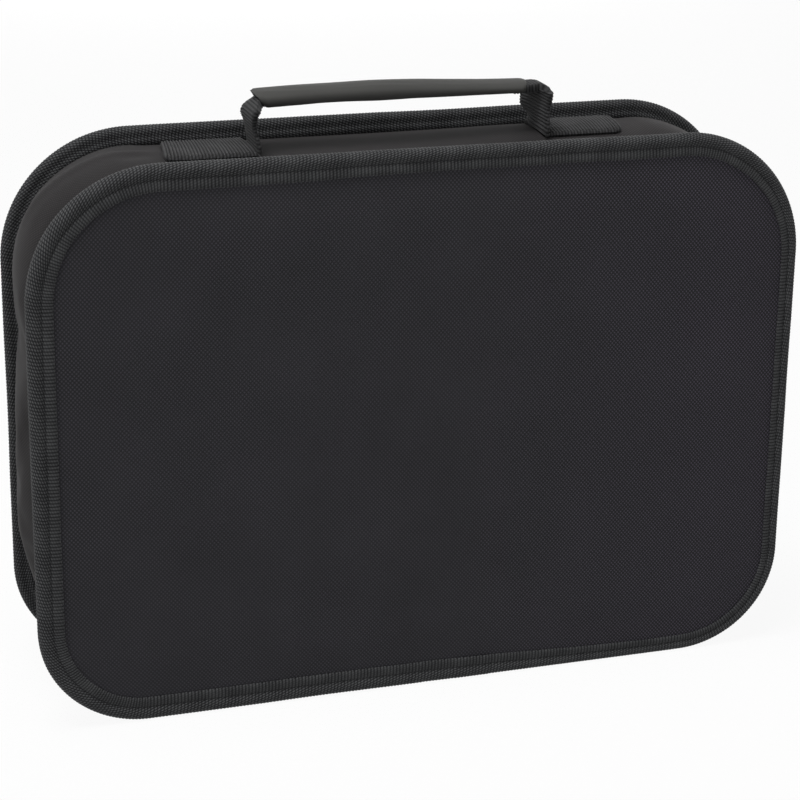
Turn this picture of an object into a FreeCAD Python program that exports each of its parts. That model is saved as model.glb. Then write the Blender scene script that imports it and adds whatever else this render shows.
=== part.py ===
import FreeCAD, Part
import math
import os
from FreeCAD import Vector

# A soft zip-up carrying case: two flat panels with bound edges, a wall between them,
# a zip close behind the front panel, a fabric hinge along the bottom and a webbing handle.
# Millimetres. X runs across the panels, Y from front to rear, Z up.
# The origin is under the middle of the case, on the surface that it stands on.

# Overall size of the bound panels
case_width = 380.0
case_height = 272.0
case_depth = 86.0
upper_corner_radius = 63.0
lower_corner_radius = 52.0
foot_cut = 0.5

# Bound edge that stands proud of the wall, with its folded tape
flange_height = 10.0
binding_thickness = 6.0
binding_face_width = 12.0
binding_tape = 1.0
binding_round_share = 0.48

# Layers of a panel and of the wall
fabric = 0.8
board = 3.0
lining = 0.6
wall_foam = 3.0

# Zip
zip_from_front = 19.0
coil_gap = 0.9
coil_width = 2.9
coil_height = 1.6
tape_thickness = 0.8
tape_seam = 3.0
zip_reveal = 5.0
zip_end_from_corner = 6.0

# Fabric hinge between the two ends of the zip
hinge_from_front = 15.0
hinge_line_height = 4.5
hinge_sag_clear = 1.5
hinge_land = 0.4
end_tab_length = 10.0
end_tab_thickness = 0.8

# Slider and pull
slider_length = 13.0
slider_plate = 1.0
slider_half_width = 4.6
slider_corner = 1.5
slider_clearance = 0.2
slider_web = 0.5
slider_lip = 0.8
slider_from_middle = 1.2
bridge_length = 7.0
bridge_width = 2.0
bridge_post = 1.2
bridge_bar = 0.8
pin_clearance = 0.15
pull_arm = 1.2
pull_arm_gap = 0.5
pull_length = 24.0
pull_width = 7.0
pull_grip_length = 15.0
pull_grip_width = 8.0
pull_grip_thickness = 2.0
pull_grip_corner = 2.0
pull_eye_length = 7.0

# Handle
handle_from_middle = 9.0
handle_aside = -4.0
webbing_width = 38.0
webbing = 2.0
tab_length = 42.0
tab_thickness = 2.4
leg_from_grip = 3.5
leg_lean = 3.0
leg_split_height = 15.0
leg_bulge = 2.0
leg_shoulder = 3.0
grip_width = 20.0
grip_above_case = 14.4
sleeve_wall = 1.0
sleeve_corner = 2.8
sleeve_overlap = 4.0
folded_webbing_width = 17.4
backing = 1.2
backing_margin = 14.0

# Inside: elastic straps and loops on the rear lining, a net pocket in the lid
elastic = 1.2
strap_width = 38.0
strap_rise = 4.0
strap_span = 96.0
strap_foot = 9.0
strap_low_end = 52.0
strap_from_side = 120.0
loop_rise = 3.4
loop_span = 22.0
loop_land = 7.0
loop_band_margin = 72.0
loop_band_height = 25.0
loop_band_centre = 198.0
pocket_side_margin = 40.0
pocket_height = 150.0
pocket_low_edge = 38.0
pocket_edge_width = 10.0
pocket_edge = 1.0
net = 0.6
pocket_elastic_height = 12.0
pocket_elastic = 1.4

# Places that follow from the sizes above
front_face = -case_depth / 2
panel_front = front_face + binding_tape
panel_thickness = fabric + board
flange_back = front_face + binding_thickness
lining_front = panel_front + panel_thickness
zip_y = front_face + zip_from_front
wall_top = case_height - flange_height
tape_inset = flange_height + fabric
tape_top = case_height - tape_inset
coil_top = tape_top + coil_height
wall_front_edge = zip_y + zip_reveal
tape_back_edge = wall_front_edge + tape_seam
hinge_y = front_face + hinge_from_front
hinge_strip_high = -foot_cut + tape_inset + tape_thickness
zip_end_from_middle = case_width / 2 - lower_corner_radius - zip_end_from_corner
handle_y = handle_from_middle
backing_half = case_width / 2 - upper_corner_radius
leg_from_middle = backing_half - backing_margin - tab_length
grip_length = 2 * (leg_from_middle - leg_from_grip)
grip_low = case_height + grip_above_case
sleeve_inner_low = grip_low + sleeve_wall
folded_webbing = 2 * webbing
grip_height = folded_webbing + 2 * sleeve_wall
strap_from_middle = case_width / 2 - strap_from_side
loop_pitch = loop_span + loop_land
loop_count = int((case_width - 2 * loop_band_margin) / loop_pitch)
pocket_width = case_width - 2 * pocket_side_margin

# Nearness at which two places count as the same, and the turn from one corner to the next
touching = 1e-4
quarter_turn = 90


def rounded_outline(inset, y):
    """A closed wire: the outline of the bound panels, drawn in by inset, in the plane at y."""
    right = case_width / 2 - inset
    top = case_height - inset
    bottom = -foot_cut + inset
    corners = [
        (right, top, upper_corner_radius - inset),
        (-right, top, upper_corner_radius - inset),
        (-right, bottom, lower_corner_radius - inset),
        (right, bottom, lower_corner_radius - inset),
    ]
    arcs = []
    for number, (x, z, radius) in enumerate(corners):
        start = number * quarter_turn
        centre_x = x - math.copysign(radius, x)
        centre_z = z - radius if z > bottom else z + radius
        points = []
        for angle in (start, start + quarter_turn / 2, start + quarter_turn):
            turn = math.radians(angle)
            points.append(Vector(centre_x + radius * math.cos(turn), y, centre_z + radius * math.sin(turn)))
        arcs.append(Part.Arc(*points))
    edges = []
    for number, arc in enumerate(arcs):
        following = arcs[(number + 1) % len(arcs)]
        edges.append(arc.toShape())
        edges.append(Part.LineSegment(arc.EndPoint, following.StartPoint).toShape())
    return Part.Wire(edges)


def plate(inset, y_from, y_to):
    """A solid plate with the panels' outline drawn in by inset, from y_from to y_to."""
    face = Part.Face(rounded_outline(inset, y_from))
    return face.extrude(Vector(0, y_to - y_from, 0))


def ring(outer_inset, inner_inset, y_from, y_to):
    """A wall that follows the panels' outline, between two insets."""
    return plate(outer_inset, y_from, y_to).cut(plate(inner_inset, y_from, y_to))


def box(x_from, x_to, y_from, y_to, z_from, z_to):
    """A block between six planes."""
    return Part.makeBox(x_to - x_from, y_to - y_from, z_to - z_from, Vector(x_from, y_from, z_from))


def prism_across(points, x_from, x_to):
    """A prism along X from a polygon of (y, z) points."""
    corners = [Vector(x_from, y, z) for y, z in points]
    face = Part.Face(Part.makePolygon(corners + corners[:1]))
    return face.extrude(Vector(x_to - x_from, 0, 0))


def prism_deep(points, y_from, y_to):
    """A prism along Y from a polygon of (x, z) points."""
    corners = [Vector(x, y_from, z) for x, z in points]
    face = Part.Face(Part.makePolygon(corners + corners[:1]))
    return face.extrude(Vector(0, y_to - y_from, 0))


def mirror_x(shape):
    """The same shape on the other side of the case."""
    return shape.mirror(Vector(0, 0, 0), Vector(1, 0, 0))


def mirror_y(shape):
    """The same shape on the other face of the case."""
    return shape.mirror(Vector(0, 0, 0), Vector(0, 1, 0))


def set_aside(shape):
    """Moves a piece of the handle from the middle of the case to where the handle is sewn."""
    moved = shape.copy()
    moved.translate(Vector(handle_aside, 0, 0))
    return moved


def above_floor(shape):
    """Cuts off what lies under the surface that the case stands on."""
    below = box(-case_width, case_width, -case_depth, case_depth, -lower_corner_radius, 0)
    return shape.cut(below)


def front_panel():
    """Outer fabric of a panel, with its folded edge thick enough to fill the tape."""
    skin = plate(binding_tape, panel_front, panel_front + fabric)
    edge = ring(binding_tape, flange_height, panel_front + fabric, lining_front)
    return above_floor(skin.fuse(edge).removeSplitter())


def front_board():
    """Stiffener behind the outer fabric, inside the folded edge."""
    return plate(flange_height, panel_front + fabric, lining_front)


def front_lining():
    """Inner fabric of a panel."""
    return plate(tape_inset + tape_thickness, lining_front, lining_front + lining)


def front_binding():
    """Ribbed tape folded over the edge of a panel, round on the outside."""
    body = ring(0, binding_face_width, front_face, flange_back)
    radius = binding_thickness * binding_round_share
    outer_edges = []
    for edge in body.Edges:
        middle = edge.valueAt((edge.FirstParameter + edge.LastParameter) / 2)
        level = abs(middle.y - front_face) < touching or abs(middle.y - flange_back) < touching
        if level and on_outline(middle):
            outer_edges.append(edge)
    body = body.makeFillet(radius, outer_edges)
    body = body.cut(plate(binding_tape, panel_front, lining_front))
    body = body.cut(plate(flange_height, lining_front, flange_back))
    return above_floor(body)


def on_outline(point):
    """True where a point lies on the outermost outline of the panels."""
    outline = rounded_outline(0, point.y)
    return outline.distToShape(Part.Vertex(point))[0] < touching


def below_wall():
    """The block between the two ends of the zip, where the fabric hinge takes the tape's place."""
    depth = case_depth / 2
    return box(-zip_end_from_middle, zip_end_from_middle, -depth, depth, -flange_height, lower_corner_radius)


def zip_tape_lid():
    """Tape sewn into the front seam, round the sides and the top."""
    tape = ring(tape_inset, tape_inset + tape_thickness, lining_front, zip_y - coil_gap / 2)
    return tape.cut(below_wall())


def zip_coil_lid():
    """Coil on the edge of the lid's tape."""
    edge = zip_y - coil_gap / 2
    coil = ring(tape_inset - coil_height, tape_inset, edge - coil_width, edge)
    return coil.cut(below_wall())


def zip_tape_base():
    """Tape sewn under the front edge of the wall."""
    tape = ring(tape_inset, tape_inset + tape_thickness, zip_y + coil_gap / 2, tape_back_edge)
    return tape.cut(below_wall())


def zip_coil_base():
    """Coil on the edge of the base's tape."""
    edge = zip_y + coil_gap / 2
    coil = ring(tape_inset - coil_height, tape_inset, edge, edge + coil_width)
    return coil.cut(below_wall())


def hinge_layer(high, thickness, y_front, y_back, x_from, x_to):
    """A layer of fabric across the hinge, with its slack fold at the hinge line."""
    valley = hinge_line_height + hinge_sag_clear + high - hinge_strip_high
    fold_front = flange_back + hinge_land
    fold_back = wall_front_edge - hinge_land
    upper = [(fold_front, high), (hinge_y, valley), (fold_back, high)]
    if y_front < fold_front:
        upper.insert(0, (y_front, high))
    if y_back > fold_back:
        upper.append((y_back, high))
    lower = [(y, z - thickness) for y, z in reversed(upper)]
    return prism_across(upper + lower, x_from, x_to)


def hinge_strip():
    """Fabric strip between the ends of the zip, sewn into the front seam and under the wall."""
    return hinge_layer(
        hinge_strip_high, tape_thickness, lining_front, tape_back_edge, -zip_end_from_middle, zip_end_from_middle
    )


def zip_end_tab_left():
    """Small fabric tab under the hinge strip, where the zip ends."""
    x_from = -zip_end_from_middle + hinge_land
    high = hinge_strip_high - tape_thickness
    return hinge_layer(high, end_tab_thickness, hinge_y, hinge_y, x_from, x_from + end_tab_length)


def base_gusset():
    """Outer fabric of the wall, from the zip to the rear panel."""
    return ring(flange_height, tape_inset, wall_front_edge, -lining_front)


def handle_backing():
    """Plastic strip inside the top of the wall that spreads the pull of the handle."""
    y_from = handle_y - webbing_width / 2
    y_to = handle_y + webbing_width / 2
    return box(-backing_half, backing_half, y_from, y_to, tape_top - backing, tape_top)


def gusset_foam():
    """Foam inside the wall."""
    foam = ring(tape_inset, tape_inset + wall_foam, tape_back_edge, -lining_front)
    return foam.cut(handle_backing())


def gusset_lining():
    """Inner fabric of the wall."""
    inset = tape_inset + wall_foam
    return ring(inset, inset + lining, tape_back_edge, -lining_front)


def rear_lining():
    """Inner fabric of the rear panel, inside the wall's lining."""
    inset = tape_inset + wall_foam + lining
    return plate(inset, -lining_front - lining, -lining_front)


def rounded_corners(block, radius):
    """A block with its four upright edges rounded."""
    upright = [edge for edge in block.Edges if round(abs(edge.tangentAt(0).z)) == 1]
    return block.makeFillet(radius, upright)


def slider_left():
    """Zip slider that stands left of the middle, open towards the lid so that the coil can leave."""
    x_to = -slider_from_middle
    x_from = x_to - slider_length
    top_low = coil_top + slider_clearance
    bottom_high = tape_top - tape_thickness - slider_clearance
    y_from = zip_y - slider_half_width
    y_to = zip_y + slider_half_width
    upper = box(x_from, x_to, y_from, y_to, top_low, top_low + slider_plate)
    lower = box(x_from, x_to, y_from, y_to, bottom_high - slider_plate, bottom_high)
    web = box(x_from, x_to, zip_y - slider_web / 2, zip_y + slider_web / 2, bottom_high, top_low)
    lip = box(x_from, x_to, y_to - slider_lip, y_to, tape_top + slider_clearance, top_low)
    plates = [rounded_corners(sheet, slider_corner) for sheet in (upper, lower)]
    body = plates[0].fuse([plates[1], web, lip])
    return body.fuse(slider_bridge()).removeSplitter()


def slider_bridge():
    """Bridge on the left slider that traps the pin of the pull."""
    low = coil_top + slider_clearance + slider_plate
    clear = pull_arm + 2 * pin_clearance
    middle = slider_middle()
    block = box(
        middle - bridge_length / 2,
        middle + bridge_length / 2,
        zip_y - bridge_width / 2,
        zip_y + bridge_width / 2,
        low,
        low + clear + bridge_bar,
    )
    gap = box(
        middle - bridge_length / 2 + bridge_post,
        middle + bridge_length / 2 - bridge_post,
        zip_y - bridge_width,
        zip_y + bridge_width,
        low,
        low + clear,
    )
    return block.cut(gap)


def slider_middle():
    """X of the middle of the left slider."""
    return -slider_from_middle - slider_length / 2


def pull_pin():
    """X and Z of the pin that the left pull turns on."""
    half_arm = pull_arm / 2
    x = slider_middle() - bridge_length / 2 + bridge_post + half_arm + pin_clearance
    z = coil_top + slider_clearance + slider_plate + half_arm + pin_clearance
    return x, z


def pull_bar(x_from, x_to, half_width, half_height):
    """A flat bar on the left pull's middle plane."""
    z = pull_pin()[1]
    return box(x_from, x_to, zip_y - half_width, zip_y + half_width, z - half_height, z + half_height)


def pull_tab_left():
    """Metal pull with an eye, round at its pin, lying flat along the zip."""
    x, z = pull_pin()
    half_arm = pull_arm / 2
    half_width = pull_width / 2
    half_eye = bridge_width / 2 + pull_arm_gap
    blade = pull_bar(x - pull_length, x, half_width, half_arm)
    hub = Part.makeCylinder(half_arm, pull_width, Vector(x, zip_y - half_width, z), Vector(0, 1, 0))
    eye = pull_bar(x - pull_eye_length, x + pull_arm, half_eye, pull_arm)
    pin = Part.makeCylinder(half_arm, 2 * half_eye, Vector(x, zip_y - half_eye, z), Vector(0, 1, 0))
    return blade.fuse(hub).cut(eye).fuse(pin).removeSplitter()


def pull_grip_left():
    """Grip moulded round the end of the pull."""
    x = pull_pin()[0]
    x_from = x - pull_length - pull_arm
    half_width = pull_grip_width / 2
    block = pull_bar(x_from, x_from + pull_grip_length, half_width, pull_grip_thickness / 2)
    block = rounded_corners(block, pull_grip_corner)
    return block.cut(pull_bar(x - pull_length, x, pull_width / 2, pull_arm / 2))


def handle_tab_left():
    """Doubled end of the webbing, sewn flat to the top of the wall."""
    x_from = -leg_from_middle - tab_length
    y_from = handle_y - webbing_width / 2
    y_to = handle_y + webbing_width / 2
    return box(x_from, -leg_from_middle, y_from, y_to, wall_top, wall_top + tab_thickness)


def leg_lower_left():
    """Lower half of a webbing leg, rising from the inner end of the sewn tab."""
    x = -leg_from_middle
    z_split = wall_top + leg_split_height
    z_tab = wall_top + tab_thickness
    points = [
        (x, wall_top),
        (x + webbing, wall_top),
        (x + webbing, z_tab),
        (x + webbing - leg_lean, z_split),
        (x - leg_lean, z_split),
        (x, z_tab),
    ]
    return prism_deep(points, handle_y - webbing_width / 2, handle_y + webbing_width / 2)


def leg_upper_left():
    """Upper half of a webbing leg: it bulges out, folds and turns into the grip."""
    x = -leg_from_middle - leg_lean
    z_split = wall_top + leg_split_height
    z_entry = sleeve_inner_low
    z_high = z_entry + folded_webbing
    x_end = -grip_length / 2 + sleeve_overlap
    points = [
        (x, z_split),
        (x + webbing, z_split),
        (x + webbing - leg_bulge, z_entry - webbing),
        (x + webbing, z_entry),
        (x_end, z_entry),
        (x_end, z_high),
        (x + leg_shoulder, z_high),
        (x - leg_bulge, z_entry - webbing / 2),
    ]
    strip = prism_deep(points, handle_y - webbing_width / 2, handle_y + webbing_width / 2)
    half = webbing_width / 2
    half_folded = folded_webbing_width / 2
    taper = [
        (handle_y - half, z_split),
        (handle_y + half, z_split),
        (handle_y + half_folded, z_entry),
        (handle_y + half_folded, z_high),
        (handle_y - half_folded, z_high),
        (handle_y - half_folded, z_entry),
    ]
    return strip.common(prism_across(taper, -case_width / 2, 0))


def grip_webbing():
    """Folded webbing that runs through the grip."""
    half = grip_length / 2 - sleeve_overlap
    half_width = folded_webbing_width / 2
    low = sleeve_inner_low
    return box(-half, half, handle_y - half_width, handle_y + half_width, low, low + folded_webbing)


def rounded_bar(width, height, corner, length, low):
    """A bar along X with rounded long edges, centred on the handle."""
    bar = box(-length / 2, length / 2, handle_y - width / 2, handle_y + width / 2, low, low + height)
    along = [edge for edge in bar.Edges if round(abs(edge.tangentAt(0).x)) == 1]
    return bar.makeFillet(corner, along)


def grip_sleeve():
    """Fabric sleeve wrapped round the folded webbing, open at both ends."""
    outer = rounded_bar(grip_width, grip_height, sleeve_corner, grip_length, grip_low)
    half_width = folded_webbing_width / 2
    inner_high = sleeve_inner_low + folded_webbing
    inner = box(
        -grip_length, grip_length, handle_y - half_width, handle_y + half_width, sleeve_inner_low, inner_high
    )
    return outer.cut(inner)


def arched_band(foot, span, rise, thickness):
    """Outline points of one arch: feet on the line at 0, the crown at rise. Returns a face in X and Y."""
    half = span / 2
    base = Vector(-half - foot, 0, 0)
    foot_end = Vector(half + foot, 0, 0)
    edges = [
        Part.LineSegment(base, Vector(-half, 0, 0)),
        Part.Arc(Vector(-half, 0, 0), Vector(0, rise - thickness, 0), Vector(half, 0, 0)),
        Part.LineSegment(Vector(half, 0, 0), foot_end),
        Part.LineSegment(foot_end, Vector(half + foot, thickness, 0)),
        Part.LineSegment(Vector(half + foot, thickness, 0), Vector(half, thickness, 0)),
        Part.Arc(Vector(half, thickness, 0), Vector(0, rise, 0), Vector(-half, thickness, 0)),
        Part.LineSegment(Vector(-half, thickness, 0), Vector(-half - foot, thickness, 0)),
        Part.LineSegment(Vector(-half - foot, thickness, 0), base),
    ]
    return Part.Face(Part.Wire([edge.toShape() for edge in edges]))


def tool_strap_left():
    """Wide elastic strap that holds the tool against the rear panel, sewn at both ends."""
    band = arched_band(strap_foot, strap_span, strap_rise, elastic).extrude(Vector(0, 0, strap_width))
    band.rotate(Vector(0, 0, 0), Vector(0, 1, 0), 90)
    band.rotate(Vector(0, 0, 0), Vector(0, 0, 1), 180)
    x_from = -strap_from_middle + strap_width / 2
    z_middle = strap_low_end + strap_foot + strap_span / 2
    band.translate(Vector(x_from, -lining_front - lining, z_middle))
    return band


def accessory_loops():
    """Elastic band sewn down between loops, for small tools."""
    pieces = []
    for number in range(loop_count):
        middle = (number - (loop_count - 1) / 2) * loop_pitch
        arch = arched_band(loop_land / 2, loop_span, loop_rise, elastic)
        arch = arch.extrude(Vector(0, 0, loop_band_height))
        arch.rotate(Vector(0, 0, 0), Vector(0, 0, 1), 180)
        arch.translate(Vector(middle, -lining_front - lining, loop_band_centre - loop_band_height / 2))
        pieces.append(arch)
    return pieces[0].fuse(pieces[1:]).removeSplitter()


def pocket_edging():
    """Tape round the two sides and the bottom of the net pocket, sewn to the lid's lining."""
    y_from = lining_front + lining
    half = pocket_width / 2
    top = pocket_low_edge + pocket_height
    frame = box(-half, half, y_from, y_from + pocket_edge, pocket_low_edge, top)
    window = box(
        -half + pocket_edge_width,
        half - pocket_edge_width,
        y_from,
        y_from + pocket_edge,
        pocket_low_edge + pocket_edge_width,
        top,
    )
    return frame.cut(window)


def mesh_pocket():
    """Net of the lid's pocket."""
    y_from = lining_front + lining + pocket_edge
    half = pocket_width / 2
    top = pocket_low_edge + pocket_height
    return box(-half, half, y_from, y_from + net, pocket_low_edge, top)


def pocket_elastic_band():
    """Elastic along the open top edge of the net pocket."""
    y_from = lining_front + lining + pocket_edge + net
    half = pocket_width / 2
    top = pocket_low_edge + pocket_height
    return box(-half, half, y_from, y_from + pocket_elastic, top - pocket_elastic_height, top)


parts = {
    "front_panel": front_panel(),
    "front_board": front_board(),
    "front_lining": front_lining(),
    "front_binding": front_binding(),
    "zip_tape_lid": zip_tape_lid(),
    "zip_coil_lid": zip_coil_lid(),
    "pocket_edging": pocket_edging(),
    "mesh_pocket": mesh_pocket(),
    "pocket_elastic": pocket_elastic_band(),
    "rear_panel": mirror_y(front_panel()),
    "rear_board": mirror_y(front_board()),
    "rear_lining": rear_lining(),
    "rear_binding": mirror_y(front_binding()),
    "base_gusset": base_gusset(),
    "gusset_foam": gusset_foam(),
    "gusset_lining": gusset_lining(),
    "handle_backing": handle_backing(),
    "zip_tape_base": zip_tape_base(),
    "zip_coil_base": zip_coil_base(),
    "hinge_strip": hinge_strip(),
    "zip_end_tab_left": zip_end_tab_left(),
    "zip_end_tab_right": mirror_x(zip_end_tab_left()),
    "accessory_loops": accessory_loops(),
    "tool_strap_left": tool_strap_left(),
    "tool_strap_right": mirror_x(tool_strap_left()),
    "slider_left": slider_left(),
    "slider_right": mirror_x(slider_left()),
    "pull_tab_left": pull_tab_left(),
    "pull_tab_right": mirror_x(pull_tab_left()),
    "pull_grip_left": pull_grip_left(),
    "pull_grip_right": mirror_x(pull_grip_left()),
    "handle_tab_left": set_aside(handle_tab_left()),
    "handle_tab_right": set_aside(mirror_x(handle_tab_left())),
    "leg_left_lower": set_aside(leg_lower_left()),
    "leg_right_lower": set_aside(mirror_x(leg_lower_left())),
    "leg_left_upper": set_aside(leg_upper_left()),
    "leg_right_upper": set_aside(mirror_x(leg_upper_left())),
    "grip_webbing": set_aside(grip_webbing()),
    "grip_sleeve": set_aside(grip_sleeve()),
}

os.makedirs("parts", exist_ok=True)
for name, shape in parts.items():
    shape.exportStep("parts/" + name + ".step")
    print(name, "solids", len(shape.Solids), "valid", shape.isValid(), "volume", round(shape.Volume, 1))
print("case box height", round(grip_low + grip_height, 2), "hinge line", round(hinge_y, 2), hinge_line_height)
print("pull pin", [round(value, 3) for value in pull_pin()], "zip line", round(zip_y, 2))
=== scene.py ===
"""Looks of a black soft zip-up carrying case: panels, padded wall, zip, fabric hinge and handle."""

from __future__ import annotations

import logging
import math
from contextlib import contextmanager
from dataclasses import dataclass, field
from enum import Enum
from typing import Iterator, Sequence

import bpy
import numpy as np
from mathutils import Matrix, Vector

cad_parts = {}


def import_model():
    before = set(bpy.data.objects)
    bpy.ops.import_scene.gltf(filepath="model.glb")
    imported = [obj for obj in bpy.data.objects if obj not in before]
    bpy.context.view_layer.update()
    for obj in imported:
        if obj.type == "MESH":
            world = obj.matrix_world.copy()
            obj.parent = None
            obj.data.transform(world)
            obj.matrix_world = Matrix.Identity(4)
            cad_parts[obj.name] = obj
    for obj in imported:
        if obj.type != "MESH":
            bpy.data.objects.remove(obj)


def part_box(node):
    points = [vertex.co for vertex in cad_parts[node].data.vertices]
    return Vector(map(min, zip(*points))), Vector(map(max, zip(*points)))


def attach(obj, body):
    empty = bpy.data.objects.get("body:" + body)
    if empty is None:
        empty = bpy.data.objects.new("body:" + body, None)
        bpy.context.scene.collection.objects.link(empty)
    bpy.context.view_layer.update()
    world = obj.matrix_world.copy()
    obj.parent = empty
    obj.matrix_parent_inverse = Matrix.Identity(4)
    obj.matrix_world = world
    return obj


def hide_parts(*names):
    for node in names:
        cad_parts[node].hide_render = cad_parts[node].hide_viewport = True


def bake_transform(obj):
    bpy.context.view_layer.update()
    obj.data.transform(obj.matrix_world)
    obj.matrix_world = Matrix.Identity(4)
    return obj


Piece = bpy.types.Object
Material = bpy.types.Material
Tree = bpy.types.NodeTree
Socket = bpy.types.NodeSocket
Array = np.ndarray

MM = 0.001
LOG = logging.getLogger("carrying_case")


class Side(Enum):
    """The two panels of the case; the value is the direction that each one faces along Y."""

    FRONT = -1
    REAR = 1

    @property
    def word(self) -> str:
        """Start of the names of this side's pieces."""
        return self.name.lower()

    @property
    def body(self) -> str:
        """Body that this side's pieces ride on."""
        return "lid" if self is Side.FRONT else "base"


class Hand(Enum):
    """Left and right halves of the case; the value is the sign of X."""

    LEFT = -1
    RIGHT = 1

    @property
    def word(self) -> str:
        """End of the names of this half's pieces."""
        return self.name.lower()


class Coords(Enum):
    """What a pattern follows: the place in the case, or the piece's own map."""

    PLACE = "Object"
    OWN_MAP = "UV"


# Selection, modes and modifiers


def deselect() -> None:
    """Takes everything out of the selection."""
    bpy.ops.object.select_all(action="DESELECT")


def pick(piece: Piece) -> None:
    """Makes one object the only selected and the active one."""
    deselect()
    piece.select_set(True)
    bpy.context.view_layer.objects.active = piece


@contextmanager
def editing(piece: Piece, mode: str = "FACE") -> Iterator[None]:
    """Opens a piece in edit mode for a few operators.

    Args:
        piece: The object to edit.
        mode: VERT, EDGE or FACE selection.
    """
    pick(piece)
    bpy.ops.object.mode_set(mode="EDIT")
    bpy.ops.mesh.select_mode(type=mode)
    try:
        yield
    finally:
        bpy.ops.object.mode_set(mode="OBJECT")


def named(name: str) -> Piece:
    """Names the object that an operator just added, and returns it.

    Args:
        name: Name for the object and its mesh.

    Returns:
        The object.
    """
    piece = bpy.context.object
    piece.name = name
    piece.data.name = name
    return piece


def points(piece: Piece) -> Array:
    """Coordinates of a mesh, one row for each vertex."""
    flat = np.empty(len(piece.data.vertices) * 3)
    piece.data.vertices.foreach_get("co", flat)
    return flat.reshape(-1, 3)


def put(piece: Piece, *places: Array | float) -> None:
    """Writes the coordinates of a mesh, given as one array of rows or as X, Y and Z."""
    rows = places[0] if len(places) == 1 else np.stack(np.broadcast_arrays(*places), axis=1)
    piece.data.vertices.foreach_set("co", np.ascontiguousarray(rows, dtype=np.float32).ravel())
    piece.data.update()


def finish_with(piece: Piece, kind: str, **settings: object) -> None:
    """Adds a modifier and applies it.

    Args:
        piece: The object.
        kind: Type of the modifier.
        settings: Its settings by name.
    """
    pick(piece)
    modifier = piece.modifiers.new(kind.lower(), kind)
    for key, value in settings.items():
        setattr(modifier, key, value)
    bpy.ops.object.modifier_apply(modifier=modifier.name)


def smooth(piece: Piece, angle: float = 180.0) -> None:
    """Shades a piece smooth up to an angle in degrees."""
    pick(piece)
    if angle >= 180:
        bpy.ops.object.shade_smooth()
    else:
        bpy.ops.object.shade_smooth_by_angle(angle=math.radians(angle))


def thicken(piece: Piece, thickness: float, offset: float = 0.0, angle: float = 180.0) -> None:
    """Gives a layer its thickness and shades it smooth up to an angle in degrees."""
    finish_with(piece, "SOLIDIFY", thickness=thickness, offset=offset)
    smooth(piece, angle)


def weld(piece: Piece, reach: float = 1e-6) -> None:
    """Merges doubled vertices and turns the faces outwards.

    Args:
        piece: The object.
        reach: Distance under which vertices are merged.
    """
    with editing(piece, "VERT"):
        bpy.ops.mesh.select_all(action="SELECT")
        bpy.ops.mesh.remove_doubles(threshold=reach)
        bpy.ops.mesh.normals_make_consistent(inside=False)


def turn_out(piece: Piece, over: bool = False) -> None:
    """Turns the faces of a piece outwards, or all of them over."""
    with editing(piece):
        bpy.ops.mesh.select_all(action="SELECT")
        if over:
            bpy.ops.mesh.flip_normals()
        else:
            bpy.ops.mesh.normals_make_consistent(inside=False)


def grid(name: str, columns: int, rows: int) -> tuple[Piece, Array]:
    """Adds a flat grid that reaches from 0 to 1 along X and Y.

    Args:
        name: Name of the piece.
        columns: Cells along X.
        rows: Cells along Y.

    Returns:
        The new object and the places of its vertices.
    """
    deselect()
    bpy.ops.mesh.primitive_grid_add(
        x_subdivisions=columns, y_subdivisions=rows, size=1, location=(0, 0, 0),
    )
    piece = named(name)
    put(piece, points(piece) + (0.5, 0.5, 0.0))
    return piece, points(piece)


def numbered(flat: Array, columns: int, rows: int) -> tuple[Array, Array]:
    """Column and row of each vertex of a grid that reaches from 0 to 1."""
    return np.rint(flat[:, 0] * columns).astype(int), np.rint(flat[:, 1] * rows).astype(int)


def joined(name: str, pieces: Sequence[Piece]) -> Piece:
    """Joins pieces into the first one.

    Args:
        name: Name of the joined piece.
        pieces: The pieces.

    Returns:
        The joined object.
    """
    pick(pieces[0])
    for piece in pieces[1:]:
        piece.select_set(True)
    bpy.ops.object.join()
    return named(name)


def repeated(piece: Piece, count: int, step: float) -> None:
    """Repeats a strip's unit along X with an applied Array modifier that merges the joints.

    Args:
        piece: The unit.
        count: Number of units.
        step: Distance from one unit to the next.
    """
    finish_with(
        piece, "ARRAY", count=count, use_relative_offset=False, use_constant_offset=True,
        constant_offset_displace=(step, 0, 0), use_merge_vertices=True, merge_threshold=1e-6,
    )


def eased(
    piece: Piece, held: Array, pressure: float, slack: float, reach: float, frames: int = 18,
) -> None:
    """Lets a piece's fabric find its own creases between the places that hold it, as simulated cloth.

    Args:
        piece: A single layer of fabric.
        held: True for each vertex that is sewn down.
        pressure: Pressure of the padding behind the fabric.
        slack: Share by which the fabric is longer than its place.
        reach: How far a point may move.
        frames: Length of the simulation.
    """
    before = points(piece)
    group = piece.vertex_groups.new(name="sewn")
    group.add([int(number) for number in np.flatnonzero(held)], 1.0, "REPLACE")
    modifier = piece.modifiers.new("fabric", "CLOTH")
    cloth = modifier.settings
    cloth.quality = 6
    cloth.mass = 0.25
    cloth.tension_stiffness = cloth.compression_stiffness = 12
    cloth.shear_stiffness = 8
    cloth.bending_stiffness = 0.6
    cloth.vertex_group_mass = "sewn"
    cloth.shrink_min = -slack
    cloth.use_pressure = True
    cloth.uniform_pressure_force = pressure
    cloth.effector_weights.gravity = 0
    scene = bpy.context.scene
    for frame in range(1, frames + 1):
        scene.frame_set(frame)
    pick(piece)
    bpy.ops.object.modifier_apply(modifier=modifier.name)
    scene.frame_set(1)
    moved = points(piece) - before
    far = np.linalg.norm(moved, axis=1)
    LOG.info("fabric of %s moved by up to %.1f mm", piece.name, far.max() / MM)
    put(piece, before + moved * np.minimum(1, reach / np.maximum(far, 1e-9))[:, None])
    piece.vertex_groups.clear()


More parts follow.
